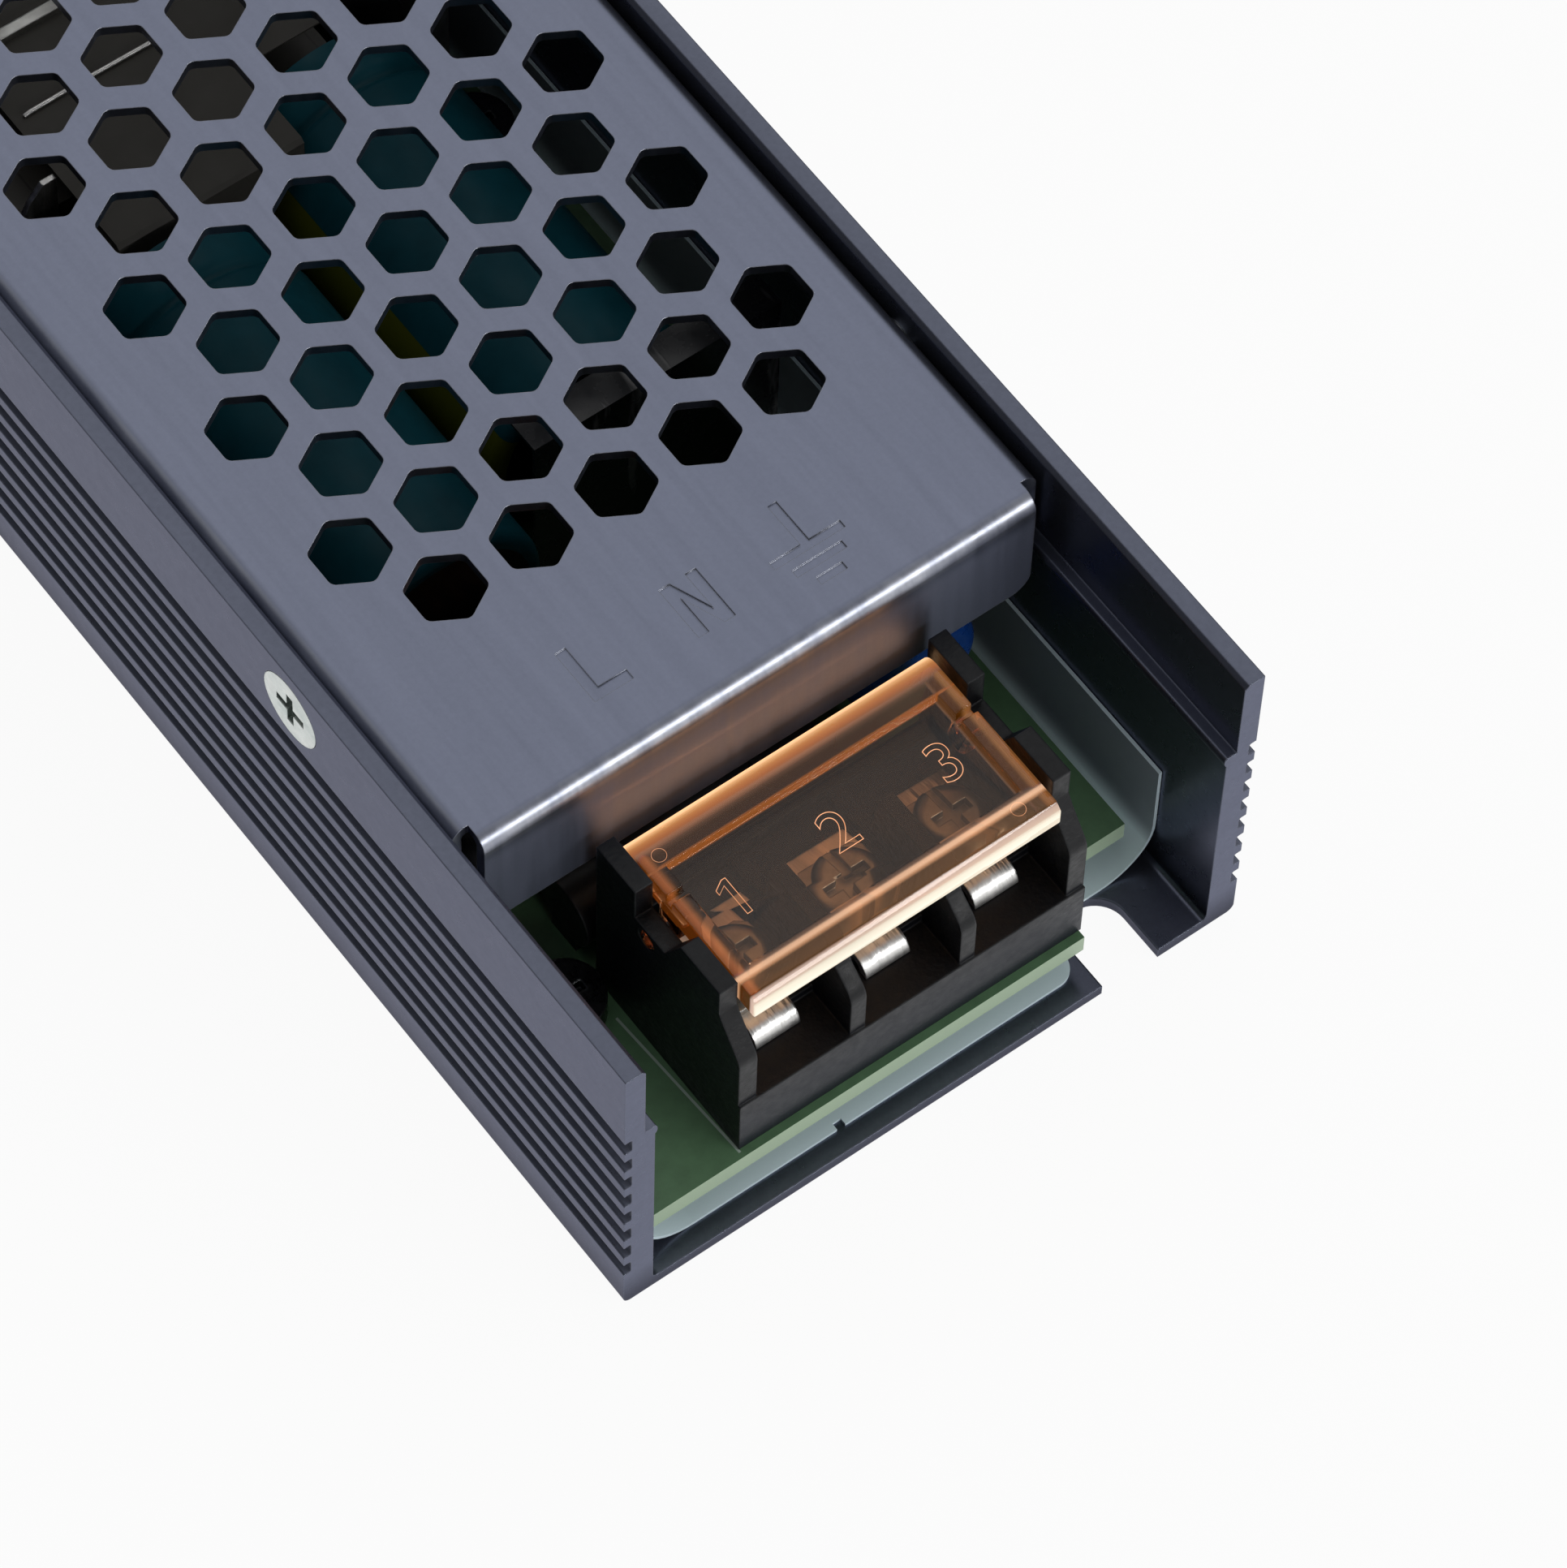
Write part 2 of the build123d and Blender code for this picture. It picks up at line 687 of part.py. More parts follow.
# Input fuse: a glass tube in two metal caps with feet on the board
fuse_axis = (from_end(fuse_place[1]), board_top + fuse_lift + fuse_radius)
fuse_left = fuse_place[0] - fuse_length / 2
cap_wall = fuse_radius - fuse_tube_radius
with BuildPart() as fuse_tube:
    with BuildSketch(Plane.YZ.offset(fuse_left + cap_wall)):
        with Locations(fuse_axis):
            Circle(fuse_tube_radius)
    extrude(amount=fuse_length - 2 * cap_wall)
save(fuse_tube.part, "fuse_tube")
with BuildPart() as fuse_caps:
    with BuildSketch(Plane.YZ.offset(fuse_left)):
        with Locations(fuse_axis):
            Circle(fuse_radius)
        with Locations((fuse_axis[0], board_top)):
            Rectangle(fuse_radius, fuse_lift + fuse_radius, align=(Align.CENTER, Align.MIN))
    extrude(amount=fuse_cap_length)
    with BuildSketch(Plane.YZ.offset(fuse_left + cap_wall)):
        with Locations(fuse_axis):
            Circle(fuse_tube_radius)
    extrude(amount=fuse_cap_length, mode=Mode.SUBTRACT)
    mirror(about=Plane.YZ.offset(fuse_place[0]))
save(fuse_caps.part, "fuse_caps")

# Disc parts: coated discs on two leads
with BuildPart() as varistor:
    disc_z = board_top + disc_lift + varistor_radius
    with BuildSketch(Plane.XZ.offset(-from_end(varistor_place[1] - varistor_thickness / 2))):
        with Locations((varistor_place[0], disc_z)):
            Circle(varistor_radius)
    extrude(amount=-varistor_thickness)
    fillet(varistor.edges(), disc_round)
    leads(*[(varistor_place[0] + side * varistor_radius / 2, varistor_place[1]) for side in (-1, 1)],
          top=disc_z)
save(varistor.part, "varistor")
with BuildPart() as thermistor:
    disc_z = board_top + disc_lift + thermistor_radius
    with BuildSketch(Plane.YZ.offset(thermistor_place[0] - thermistor_thickness / 2)):
        with Locations((from_end(thermistor_place[1]), disc_z)):
            Circle(thermistor_radius)
    extrude(amount=thermistor_thickness)
    fillet(thermistor.edges(), disc_round)
    leads(*[(thermistor_place[0], thermistor_place[1] + side * thermistor_radius / 2) for side in (-1, 1)],
          top=disc_z)
save(thermistor.part, "thermistor")
with BuildPart() as safety_caps:
    disc_z = board_top + disc_lift + safety_cap_radius
    for x, y in safety_cap_places:
        with BuildSketch(Plane.XZ.offset(-from_end(y - safety_cap_thickness / 2))):
            with Locations((x, disc_z)):
                Circle(safety_cap_radius)
        extrude(amount=-safety_cap_thickness)
    fillet(safety_caps.edges(), disc_round)
    for x, y in safety_cap_places:
        leads(*[(x + side * safety_cap_radius / 2, y) for side in (-1, 1)], top=disc_z)
save(safety_caps.part, "safety_capacitors")


def toroid(place, outer, inner, height, name):
    """A bare ring core and its winding of two halves, set above the board."""
    centre = (place[0], from_end(place[1]))
    bottom = board_top + choke_lift + winding_wire
    with BuildPart() as core:
        with BuildSketch(Plane.XY.offset(bottom)):
            with Locations(centre):
                Circle(outer)
                Circle(inner, mode=Mode.SUBTRACT)
        extrude(amount=height)
    save(core.part, f"{name}_core")
    with BuildPart() as winding:
        with BuildSketch(Plane.XY.offset(bottom - winding_wire)):
            with Locations(centre):
                Circle(outer + winding_wire)
                Circle(inner - winding_wire, mode=Mode.SUBTRACT)
        extrude(amount=height + 2 * winding_wire)
        outer_edges = winding.edges().filter_by(GeomType.CIRCLE).filter_by(
            lambda edge: edge.radius > outer)
        fillet(outer_edges, winding_wire)
        add(core.part, mode=Mode.SUBTRACT)
        with BuildSketch(Plane.XY):
            with Locations(centre):
                Rectangle(winding_gap, 3 * outer)
        extrude(amount=case_height, mode=Mode.SUBTRACT)
        leads(*[(place[0] + side * outer / 2, place[1] + end * outer / 2) for side in (-1, 1)
                for end in (-1, 1)], top=bottom - winding_wire)
    save(winding.part, f"{name}_winding")


toroid(line_choke_place, line_choke_outer, line_choke_inner, line_choke_height, "line_choke")
toroid(output_choke_place, output_choke_outer, output_choke_inner, output_choke_height, "output_choke")

# Film capacitors in moulded boxes
for name, place, size in [
    ("line_capacitor", line_cap_place, line_cap_size),
    ("snubber_capacitor", snubber_place, snubber_size),
]:
    with BuildPart() as film_cap:
        box_on_board(place, size)
        fillet(film_cap.faces().sort_by(Axis.Z)[-1].edges(), box_round)
    save(film_cap.part, name)

# Folded film strip between the line filter and the bulk capacitors
with BuildPart() as strip:
    with BuildSketch(Plane.YZ.offset(strip_left)):
        with Locations((from_end(strip_from_end), board_top)):
            Rectangle(film_thickness, strip_top - board_top, align=(Align.MIN, Align.MIN))
        with Locations((from_end(strip_from_end), strip_top)):
            Rectangle(strip_return, film_thickness, align=(Align.MIN, Align.MAX))
    extrude(amount=board_right - strip_from_edge - strip_left)
save(strip.part, "insulating_strip")

# Bulk capacitors lie on the board with the crimp towards the transformer
for number, (x, y) in enumerate(bulk_places, 1):
    axis_plane = Plane(
        origin=(x, from_end(y), board_top + bulk_lift + bulk_radius), x_dir=(0, 0, 1), z_dir=(1, 0, 0)
    )
    with BuildPart() as bulk:
        with BuildSketch(axis_plane):
            with BuildLine():
                Polyline(
                    (0, 0),
                    (bulk_radius, 0),
                    (bulk_radius, -(bulk_length - crimp_from_end - crimp_width)),
                    (bulk_radius - crimp_depth, -(bulk_length - crimp_from_end - crimp_width / 2)),
                    (bulk_radius, -(bulk_length - crimp_from_end)),
                    (bulk_radius, -bulk_length),
                    (0, -bulk_length),
                    close=True,
                )
            make_face()
        revolve(axis=Axis(axis_plane.origin, (0, 1, 0)))
        fillet(bulk.edges().group_by(Axis.Y)[0], bulk_round)
        seal_y = from_end(y) + bulk_length
        for side in (-1, 1):
            lead_x = x + side * bulk_lead_spread
            with BuildLine():
                FilletPolyline(
                    (lead_x, seal_y, axis_plane.origin.Z),
                    (lead_x, seal_y + bulk_lead_reach, axis_plane.origin.Z),
                    (lead_x, seal_y + bulk_lead_reach, board_top),
                    radius=bulk_lead_bend,
                )
            with BuildSketch(Plane.XZ.offset(-seal_y)):
                with Locations((lead_x, axis_plane.origin.Z)):
                    Circle(lead_radius)
            sweep()
    save(bulk.part, f"bulk_capacitor_{number}")

# Transformer: a frame core with its middle leg through a flanged bobbin
tx, ty = transformer_place[0], from_end(transformer_place[1])
core_top = core_z + core_height
tube_half = centre_leg / 2 + bobbin_wall
flange_half = centre_leg / 2 + core_window - flange_gap
with BuildPart() as core:
    with BuildSketch(Plane.XY.offset(core_z)):
        with Locations((tx, ty)):
            Rectangle(core_length, core_width)
        for side in (-1, 1):
            with Locations((tx, ty + side * (centre_leg + core_window) / 2)):
                Rectangle(window_length, core_window, mode=Mode.SUBTRACT)
    extrude(amount=core_height)
save(core.part, "transformer_core")
with BuildPart() as bobbin:
    with Locations((tx, ty, core_z + core_height / 2)):
        Box(window_length - 2 * flange_gap, 2 * tube_half, core_height + 2 * bobbin_wall)
        for side in (-1, 1):
            flange_x = side * (window_length / 2 - flange_gap - bobbin_wall / 2)
            with Locations((flange_x, 0, (bobbin_top + board_top - core_z - core_top) / 2)):
                Box(bobbin_wall, 2 * flange_half, bobbin_top - board_top)
        Box(window_length, centre_leg, core_height, mode=Mode.SUBTRACT)
save(bobbin.part, "transformer_bobbin")
with BuildPart() as winding:
    winding_half = window_length / 2 - flange_gap - bobbin_wall
    core_middle = core_z + core_height / 2
    with BuildSketch(Plane.YZ.offset(tx - winding_half)):
        with Locations((ty, core_middle)):
            RectangleRounded(2 * (flange_half - bobbin_wall), 2 * (winding_top - core_middle), winding_round)
            Rectangle(2 * tube_half, core_height + 2 * bobbin_wall, mode=Mode.SUBTRACT)
    extrude(amount=2 * winding_half)
save(winding.part, "transformer_winding")
with BuildPart() as clip:
    with BuildSketch(Plane.XZ.offset(-ty)):
        with Locations((tx, core_middle)):
            RectangleRounded(core_length + 4 * clip_radius, 2 * (bobbin_top - core_middle) + 4 * clip_radius,
                             winding_round)
            RectangleRounded(core_length, 2 * (bobbin_top - core_middle), winding_round - 2 * clip_radius,
                             mode=Mode.SUBTRACT)
            with Locations((0, core_middle - bobbin_top)):
                Rectangle(2 * core_length, 2 * (core_middle - core_z) + clip_gap, mode=Mode.SUBTRACT)
    extrude(amount=clip_radius, both=True)
save(clip.part, "transformer_clip")

# Bridge rectifier, optocoupler and control chip as plain moulded bodies
for name, place, size in [
    ("bridge_rectifier", bridge_place, bridge_size),
    ("optocoupler", opto_place, opto_size),
    ("control_chip", chip_place, chip_size),
]:
    with BuildPart() as moulding:
        box_on_board(place, size)
        chamfer(moulding.faces().sort_by(Axis.Z)[-1].edges(), box_round / 2)
    save(moulding.part, name)

# Heat sink bars with two clipped transistors each, facing the middle
for name, device, place, side in [
    ("primary_heat_sink", "power_transistor", primary_sink, -1),
    ("output_heat_sink", "output_rectifier", output_sink, 1),
]:
    depth, width, height = transistor_size
    device_z = board_top + transistor_lift
    with BuildPart() as sink:
        box_on_board(place, (sink_thickness, sink_length, transistor_lift + height))
        chamfer(sink.faces().sort_by(Axis.Z)[-1].edges().filter_by(Axis.Y), sheet / 2)
    save(sink.part, name)
    face_x = place[0] + side * (sink_thickness / 2 + depth / 2)
    with BuildPart() as devices:
        for step in (-0.5, 0.5):
            y = from_end(place[1]) + step * transistor_spacing
            with Locations((face_x, y, device_z)):
                Box(depth, width, height, align=(Align.CENTER, Align.CENTER, Align.MIN))
            middle = place[1] + step * transistor_spacing
            leads(*[(face_x, middle + pin) for pin in (-pin_pitch, 0, pin_pitch)], top=device_z)
    save(devices.part, f"{device}s")
    with BuildPart() as springs:
        for step in (-0.5, 0.5):
            y = from_end(place[1]) + step * transistor_spacing
            outer_x = face_x + side * (depth / 2)
            with BuildSketch(Plane.XZ.offset(-y - spring_width / 2)):
                with BuildLine():
                    Polyline(
                        (outer_x, device_z + height / 2),
                        (outer_x, device_z + height),
                        (place[0] - side * sink_thickness / 2, device_z + height),
                        (place[0] - side * sink_thickness / 2, device_z + height + spring_thickness),
                        (outer_x + side * spring_thickness, device_z + height + spring_thickness),
                        (outer_x + side * spring_thickness, device_z + height / 2),
                        close=True,
                    )
                make_face()
            extrude(amount=spring_width)
    save(springs.part, f"{device}_clips")

# Output capacitors stand on the board, rubber end down
with BuildPart() as output_caps:
    for x, y in output_cap_places:
        with Locations((x, from_end(y), board_top)):
            Cylinder(output_cap_radius, output_cap_height, align=(Align.CENTER, Align.CENTER, Align.MIN))
    chamfer(output_caps.faces().group_by(Axis.Z)[-1].edges(), crimp_depth)
save(output_caps.part, "output_capacitors")

# Drum choke that smooths the output
with BuildPart() as filter_choke:
    with BuildSketch(Plane.XZ.offset(-from_end(filter_choke_place[1]))):
        with Locations((filter_choke_place[0], board_top)):
            Rectangle(filter_choke_waist, filter_choke_height, align=(Align.MIN, Align.MIN))
            Rectangle(filter_choke_radius, filter_choke_rim, align=(Align.MIN, Align.MIN))
            with Locations((0, filter_choke_height - filter_choke_rim)):
                Rectangle(filter_choke_radius, filter_choke_rim, align=(Align.MIN, Align.MIN))
    revolve(axis=Axis((filter_choke_place[0], from_end(filter_choke_place[1]), 0), (0, 0, 1)))
save(filter_choke.part, "filter_choke_core")
with BuildPart() as filter_winding:
    with BuildSketch(Plane.XY.offset(board_top + filter_choke_rim)):
        with Locations((filter_choke_place[0], from_end(filter_choke_place[1]))):
            Circle(filter_choke_radius - flange_gap)
            Circle(filter_choke_waist, mode=Mode.SUBTRACT)
    extrude(amount=filter_choke_height - 2 * filter_choke_rim)
save(filter_winding.part, "filter_choke_winding")

# Voltage trimmer: a square body with a slotted rotor turning in its well
trimmer_xy = (strip_x, -from_end(trimmer_from_end))
rotor_floor = board_top + trimmer_height - rotor_height
with BuildPart() as trimmer:
    with Locations((*trimmer_xy, board_top)):
        Box(trimmer_side, trimmer_side, trimmer_height, align=(Align.CENTER, Align.CENTER, Align.MIN))
    with Locations((*trimmer_xy, board_top + trimmer_height)):
        Hole(rotor_radius + rotor_clearance, rotor_height)
save(trimmer.part, "trimmer_body")
with BuildPart() as rotor:
    with Locations((*trimmer_xy, rotor_floor)):
        Cylinder(rotor_radius, rotor_height, align=(Align.CENTER, Align.CENTER, Align.MIN))
    with BuildSketch(Plane.XY.offset(rotor_floor + rotor_height)):
        with Locations(trimmer_xy):
            Rectangle(2 * rotor_radius, screw_slot / 2)
            Rectangle(screw_slot / 2, rotor_radius, align=(Align.CENTER, Align.MIN))
    extrude(amount=-rotor_height / 2, mode=Mode.SUBTRACT)
save(rotor.part, "trimmer_rotor")

# Indicator lamp: a domed body on a flange
with BuildPart() as lamp:
    with Locations((strip_x, -from_end(lamp_from_end), board_top)):
        Cylinder(lamp_radius, lamp_height - lamp_radius, align=(Align.CENTER, Align.CENTER, Align.MIN))
        Cylinder(lamp_radius + lead_radius, 2 * lead_radius, align=(Align.CENTER, Align.CENTER, Align.MIN))
    with Locations((strip_x, -from_end(lamp_from_end), board_top + lamp_height - lamp_radius)):
        Sphere(lamp_radius)
save(lamp.part, "indicator_lamp")
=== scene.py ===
import math

import bmesh
import bpy
from mathutils import Matrix, Vector


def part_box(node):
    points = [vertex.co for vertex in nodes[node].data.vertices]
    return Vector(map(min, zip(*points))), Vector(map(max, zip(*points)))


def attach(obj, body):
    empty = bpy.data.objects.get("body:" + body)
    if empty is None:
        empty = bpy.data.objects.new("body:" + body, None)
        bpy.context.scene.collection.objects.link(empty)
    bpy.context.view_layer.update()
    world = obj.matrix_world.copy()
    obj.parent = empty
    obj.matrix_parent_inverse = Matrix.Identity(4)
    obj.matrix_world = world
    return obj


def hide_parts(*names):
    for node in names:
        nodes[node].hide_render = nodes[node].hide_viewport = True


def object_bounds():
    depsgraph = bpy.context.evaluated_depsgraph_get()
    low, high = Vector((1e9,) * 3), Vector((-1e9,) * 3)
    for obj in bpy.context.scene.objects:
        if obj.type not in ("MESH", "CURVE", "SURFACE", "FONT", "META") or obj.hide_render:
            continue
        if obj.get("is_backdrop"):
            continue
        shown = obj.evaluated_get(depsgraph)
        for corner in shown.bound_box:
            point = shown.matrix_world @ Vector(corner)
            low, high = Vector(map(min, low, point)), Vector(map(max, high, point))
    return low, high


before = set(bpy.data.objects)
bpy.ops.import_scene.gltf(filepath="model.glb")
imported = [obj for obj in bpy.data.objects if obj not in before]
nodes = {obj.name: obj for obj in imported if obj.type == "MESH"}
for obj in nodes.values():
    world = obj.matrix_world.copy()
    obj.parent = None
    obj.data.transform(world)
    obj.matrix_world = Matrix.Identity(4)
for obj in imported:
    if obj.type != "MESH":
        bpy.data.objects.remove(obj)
cad_low, cad_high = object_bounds()
scene = bpy.context.scene
mm = 0.001


# Studio: a white table in a softly lit room, brightest high up behind the
# part. One low wide lamp in front draws the line along the cover's bend
def add(tree, kind, inputs=(), **settings):
    """A node of the tree, with its settings and what goes into its sockets."""
    made = tree.nodes.new(kind)
    for name, value in settings.items():
        setattr(made, name, value)
    for name, value in dict(inputs).items():
        if isinstance(value, bpy.types.NodeSocket):
            tree.links.new(value, made.inputs[name])
        else:
            made.inputs[name].default_value = value
    return made


def span(tree, value, low, high, to_low=0.0, to_high=1.0):
    """The value carried from one range to another, held at the ends."""
    ends = {"From Min": low, "From Max": high, "To Min": to_low, "To Max": to_high}
    return add(tree, "ShaderNodeMapRange", {"Value": value, **ends}).outputs[0]


def seen_directly(tree):
    """1 for rays from the camera, a mirror or clear plastic, else 0."""
    path = add(tree, "ShaderNodeLightPath").outputs
    either = add(tree, "ShaderNodeMath", {0: path["Is Camera Ray"], 1: path["Is Glossy Ray"]},
                 operation="MAXIMUM")
    return add(tree, "ShaderNodeMath", {0: either.outputs[0], 1: path["Is Transmission Ray"]},
               operation="MAXIMUM").outputs[0]


floor_glow = 0.94
table = bpy.data.objects.new("table", bpy.data.meshes.new("table"))
scene.collection.objects.link(table)
reach, table_top = 3.0, -0.0002
table.data.from_pydata([(-reach, -reach, table_top), (reach, -reach, table_top), (reach, reach, table_top),
                        (-reach, reach, table_top)], [], [(0, 1, 2, 3)])
table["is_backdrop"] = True
table_white = bpy.data.materials.new("table_white")
table_white.use_nodes = True
tree = table_white.node_tree
tree.nodes.clear()
paint = add(tree, "ShaderNodeBsdfDiffuse", {"Color": (0.80, 0.80, 0.80, 1)})
glow = add(tree, "ShaderNodeEmission", {"Color": (1, 1, 1, 1), "Strength": 1.0})
share = add(tree, "ShaderNodeMath", {0: seen_directly(tree), 1: floor_glow}, operation="MULTIPLY")
both = add(tree, "ShaderNodeMixShader", {0: share.outputs[0], 1: paint.outputs[0], 2: glow.outputs[0]})
add(tree, "ShaderNodeOutputMaterial", {"Surface": both.outputs[0]})
table.data.materials.append(table_white)

world = bpy.data.worlds.new("soft_room")
scene.world = world
world.use_nodes = True
tree = world.node_tree
tree.nodes.clear()
towards = add(tree, "ShaderNodeTexCoord").outputs["Generated"]
bright_side = (0.35, 0.50, 0.79)
room_dim, room_bright = 0.10, 0.89
height = add(tree, "ShaderNodeVectorMath", {0: towards, 1: bright_side}, operation="DOT_PRODUCT")
room = span(tree, height.outputs["Value"], 0.42, 0.97, room_dim, room_bright)
sky = add(tree, "ShaderNodeBackground", {"Color": (1, 1, 1, 1), "Strength": room})
add(tree, "ShaderNodeOutputWorld", {"Surface": sky.outputs[0]})


def lamp(name, place, aim, size, power):
    light = bpy.data.lights.new(name, "AREA")
    light.shape = "RECTANGLE"
    light.size, light.size_y = size
    light.energy = power
    made = bpy.data.objects.new(name, light)
    made.location = place
    made.rotation_mode = "QUATERNION"
    made.rotation_quaternion = (Vector(place) - Vector(aim)).to_track_quat("Z", "Y")
    scene.collection.objects.link(made)


lamp("front_lamp", (0.40, -1.06, 0.49), (0, -0.08, 0), (1.5, 0.18), 8.2)

# The camera stands where the perspective of the picture puts it. Its focal
# length and the picture's long side are in pixels
long_side = 1932
focal_pixels = 9878.3
camera_place = Vector((-0.159057, -0.278729, 0.443737))
camera_forward = Vector((0.320107, 0.399708, -0.858933))
camera_right = Vector((0.802267, -0.596582, 0.021367))
camera = bpy.data.objects.new("camera", bpy.data.cameras.new("camera"))
scene.collection.objects.link(camera)
scene.camera = camera
camera.data.lens = 36.0 * focal_pixels / long_side
camera.data.sensor_width = 36.0
camera.data.clip_end = 20.0
camera_up = camera_right.cross(camera_forward)
camera.matrix_world = Matrix.Translation(camera_place) @ Matrix(
    (camera_right, camera_up, -camera_forward)).transposed().to_4x4()
scene.view_settings.view_transform = "Standard"


# Channel: an aluminium extrusion with eight grooves along each side, sawn off
# square and coated thinly in slate. Its edges are paler, partly rubbed and partly
# a painted highlight; the sawn ends are painted paler as painted light; the walls
# are painted darker near the foot as painted shade; and the grooves are made
# non-metallic, so they show lighter than their shade would leave them
def math_of(tree, operation, *values):
    return add(tree, "ShaderNodeMath", dict(enumerate(values)), operation=operation).outputs[0]


def scaled(tree, color, factor):
    return add(tree, "ShaderNodeVectorMath", {0: color, 3: factor}, operation="SCALE").outputs[0]


def facing_of(tree):
    """The surface's normal, as its X, Y and Z."""
    normal = add(tree, "ShaderNodeNewGeometry").outputs["Normal"]
    return add(tree, "ShaderNodeSeparateXYZ", {0: normal}).outputs


def place_of(tree):
    """The place on the object, as its X, Y and Z."""
    spot = add(tree, "ShaderNodeTexCoord").outputs["Object"]
    return add(tree, "ShaderNodeSeparateXYZ", {0: spot}).outputs


def blend(tree, factor, first, second):
    return add(tree, "ShaderNodeMix", {0: factor, 6: first, 7: second}, data_type="RGBA").outputs[2]


def new_group(name, inputs, outputs):
    """An empty shader node group, and its input and output nodes."""
    group = bpy.data.node_groups.new(name, "ShaderNodeTree")
    for label, kind, value in inputs:
        socket = group.interface.new_socket(label, in_out="INPUT", socket_type=kind)
        socket.default_value = value
    for label, kind in outputs:
        group.interface.new_socket(label, in_out="OUTPUT", socket_type=kind)
    return group, group.nodes.new("NodeGroupInput"), group.nodes.new("NodeGroupOutput")


# Rounds every hard edge a little and finds the edges, for wear and for painted highlights
edge_group, given, result = new_group(
    "soft_edges", [("Radius", "NodeSocketFloat", 0.0002)],
    [("Edge", "NodeSocketFloat"), ("Normal", "NodeSocketVector")])
rounded = add(edge_group, "ShaderNodeBevel", {"Radius": given.outputs["Radius"]}, samples=6)
flat = add(edge_group, "ShaderNodeNewGeometry")
agree = add(edge_group, "ShaderNodeVectorMath", {0: rounded.outputs[0], 1: flat.outputs["Normal"]},
            operation="DOT_PRODUCT")
edge = span(edge_group, agree.outputs["Value"], 0.995, 0.80)
edge_group.links.new(edge, result.inputs["Edge"])
edge_group.links.new(rounded.outputs[0], result.inputs["Normal"])

# Fine grain or brushed lines: noise whose coordinates may be stretched
grain_group, given, result = new_group(
    "fine_grain", [("Scale", "NodeSocketFloat", 1000.0), ("Stretch", "NodeSocketVector", (1, 1, 1)),
                   ("Low", "NodeSocketFloat", 0.0), ("High", "NodeSocketFloat", 1.0)],
    [("Value", "NodeSocketFloat")])
where = add(grain_group, "ShaderNodeTexCoord")
given = given.outputs
stretched = add(grain_group, "ShaderNodeVectorMath", {0: where.outputs["Object"], 1: given["Stretch"]},
                operation="MULTIPLY")
noise = add(grain_group, "ShaderNodeTexNoise", {"Vector": stretched.outputs[0], "Scale": given["Scale"],
                                                "Detail": 3.0, "Roughness": 0.6})
spread = span(grain_group, noise.outputs["Fac"], 0.25, 0.75, given["Low"], given["High"])
grain_group.links.new(spread, result.inputs["Value"])


def grain(tree, scale, stretch=(1, 1, 1), low=0.0, high=1.0):
    made = add(tree, "ShaderNodeGroup", node_tree=grain_group)
    for name, value in (("Scale", scale), ("Stretch", stretch), ("Low", low), ("High", high)):
        made.inputs[name].default_value = value
    return made.outputs["Value"]


def soft_edges(tree, radius):
    made = add(tree, "ShaderNodeGroup", node_tree=edge_group)
    made.inputs["Radius"].default_value = radius
    return made.outputs["Edge"], made.outputs["Normal"]


def bumped(tree, height, distance, strength=0.3, normal=None):
    inputs = {"Height": height, "Distance": distance, "Strength": strength}
    if normal is not None:
        inputs["Normal"] = normal
    return add(tree, "ShaderNodeBump", inputs).outputs[0]


def finish(name, color=(0.5, 0.5, 0.5), **sockets):
    """A material, its tree and its Principled shader, with constant values set."""
    made = bpy.data.materials.new(name)
    made.use_nodes = True
    shader = made.node_tree.nodes["Principled BSDF"]
    shader.inputs["Base Color"].default_value = (*color, 1)
    for label, value in sockets.items():
        shader.inputs[label.replace("_", " ")].default_value = value
    return made, made.node_tree, shader


def feed(tree, shader, **sockets):
    for label, value in sockets.items():
        tree.links.new(value, shader.inputs[label.replace("_", " ")])


def dress(material, *names):
    for name in names:
        mesh = nodes[name].data
        mesh.materials.clear()
        mesh.materials.append(material)


def rgb(color):
    return (*color, 1)


slate = (0.118, 0.129, 0.172)
slate_worn_and_highlit = (0.19, 0.205, 0.26)
end_face_painted_light = 0.20
foot_top = 3.4 * mm
foot_painted_shade = 0.68
groove_mouth, groove_floor = 0.12 * mm, 1.45 * mm
grooves_top = 20.7 * mm
thin_coat = 0.84
channel_finish, tree, shader = finish("slate_anodised", slate, Metallic=1.0)
shader.inputs["Specular Tint"].default_value = (0.575, 0.575, 0.655, 1)
edge, normal = soft_edges(tree, 0.00018)
speckle = grain(tree, 2600.0, low=0.93, high=1.07)
drawn = grain(tree, 700.0, stretch=(1, 0.02, 1), low=0.96, high=1.04)
mottled = math_of(tree, "MULTIPLY", speckle, drawn)
tone = scaled(tree, slate, mottled)
facing = facing_of(tree)
# End faces painted paler: painted light on the sawn ends
sawn = math_of(tree, "GREATER_THAN", math_of(tree, "ABSOLUTE", facing["Y"]), 0.9)
ends_painted_lighter = math_of(tree, "ADD", 1.0, math_of(tree, "MULTIPLY", sawn, end_face_painted_light))
tone = scaled(tree, tone, ends_painted_lighter)
spot = place_of(tree)
# Steep faces painted darker near the foot: painted shade
steep = math_of(tree, "LESS_THAN", math_of(tree, "ABSOLUTE", facing["Z"]), 0.5)
foot_shade = span(tree, spot["Z"], foot_top, 0.4 * mm, 0.0, foot_painted_shade)
clear_of_foot_shade = math_of(tree, "SUBTRACT", 1.0, math_of(tree, "MULTIPLY", steep, foot_shade))
tone = scaled(tree, tone, clear_of_foot_shade)
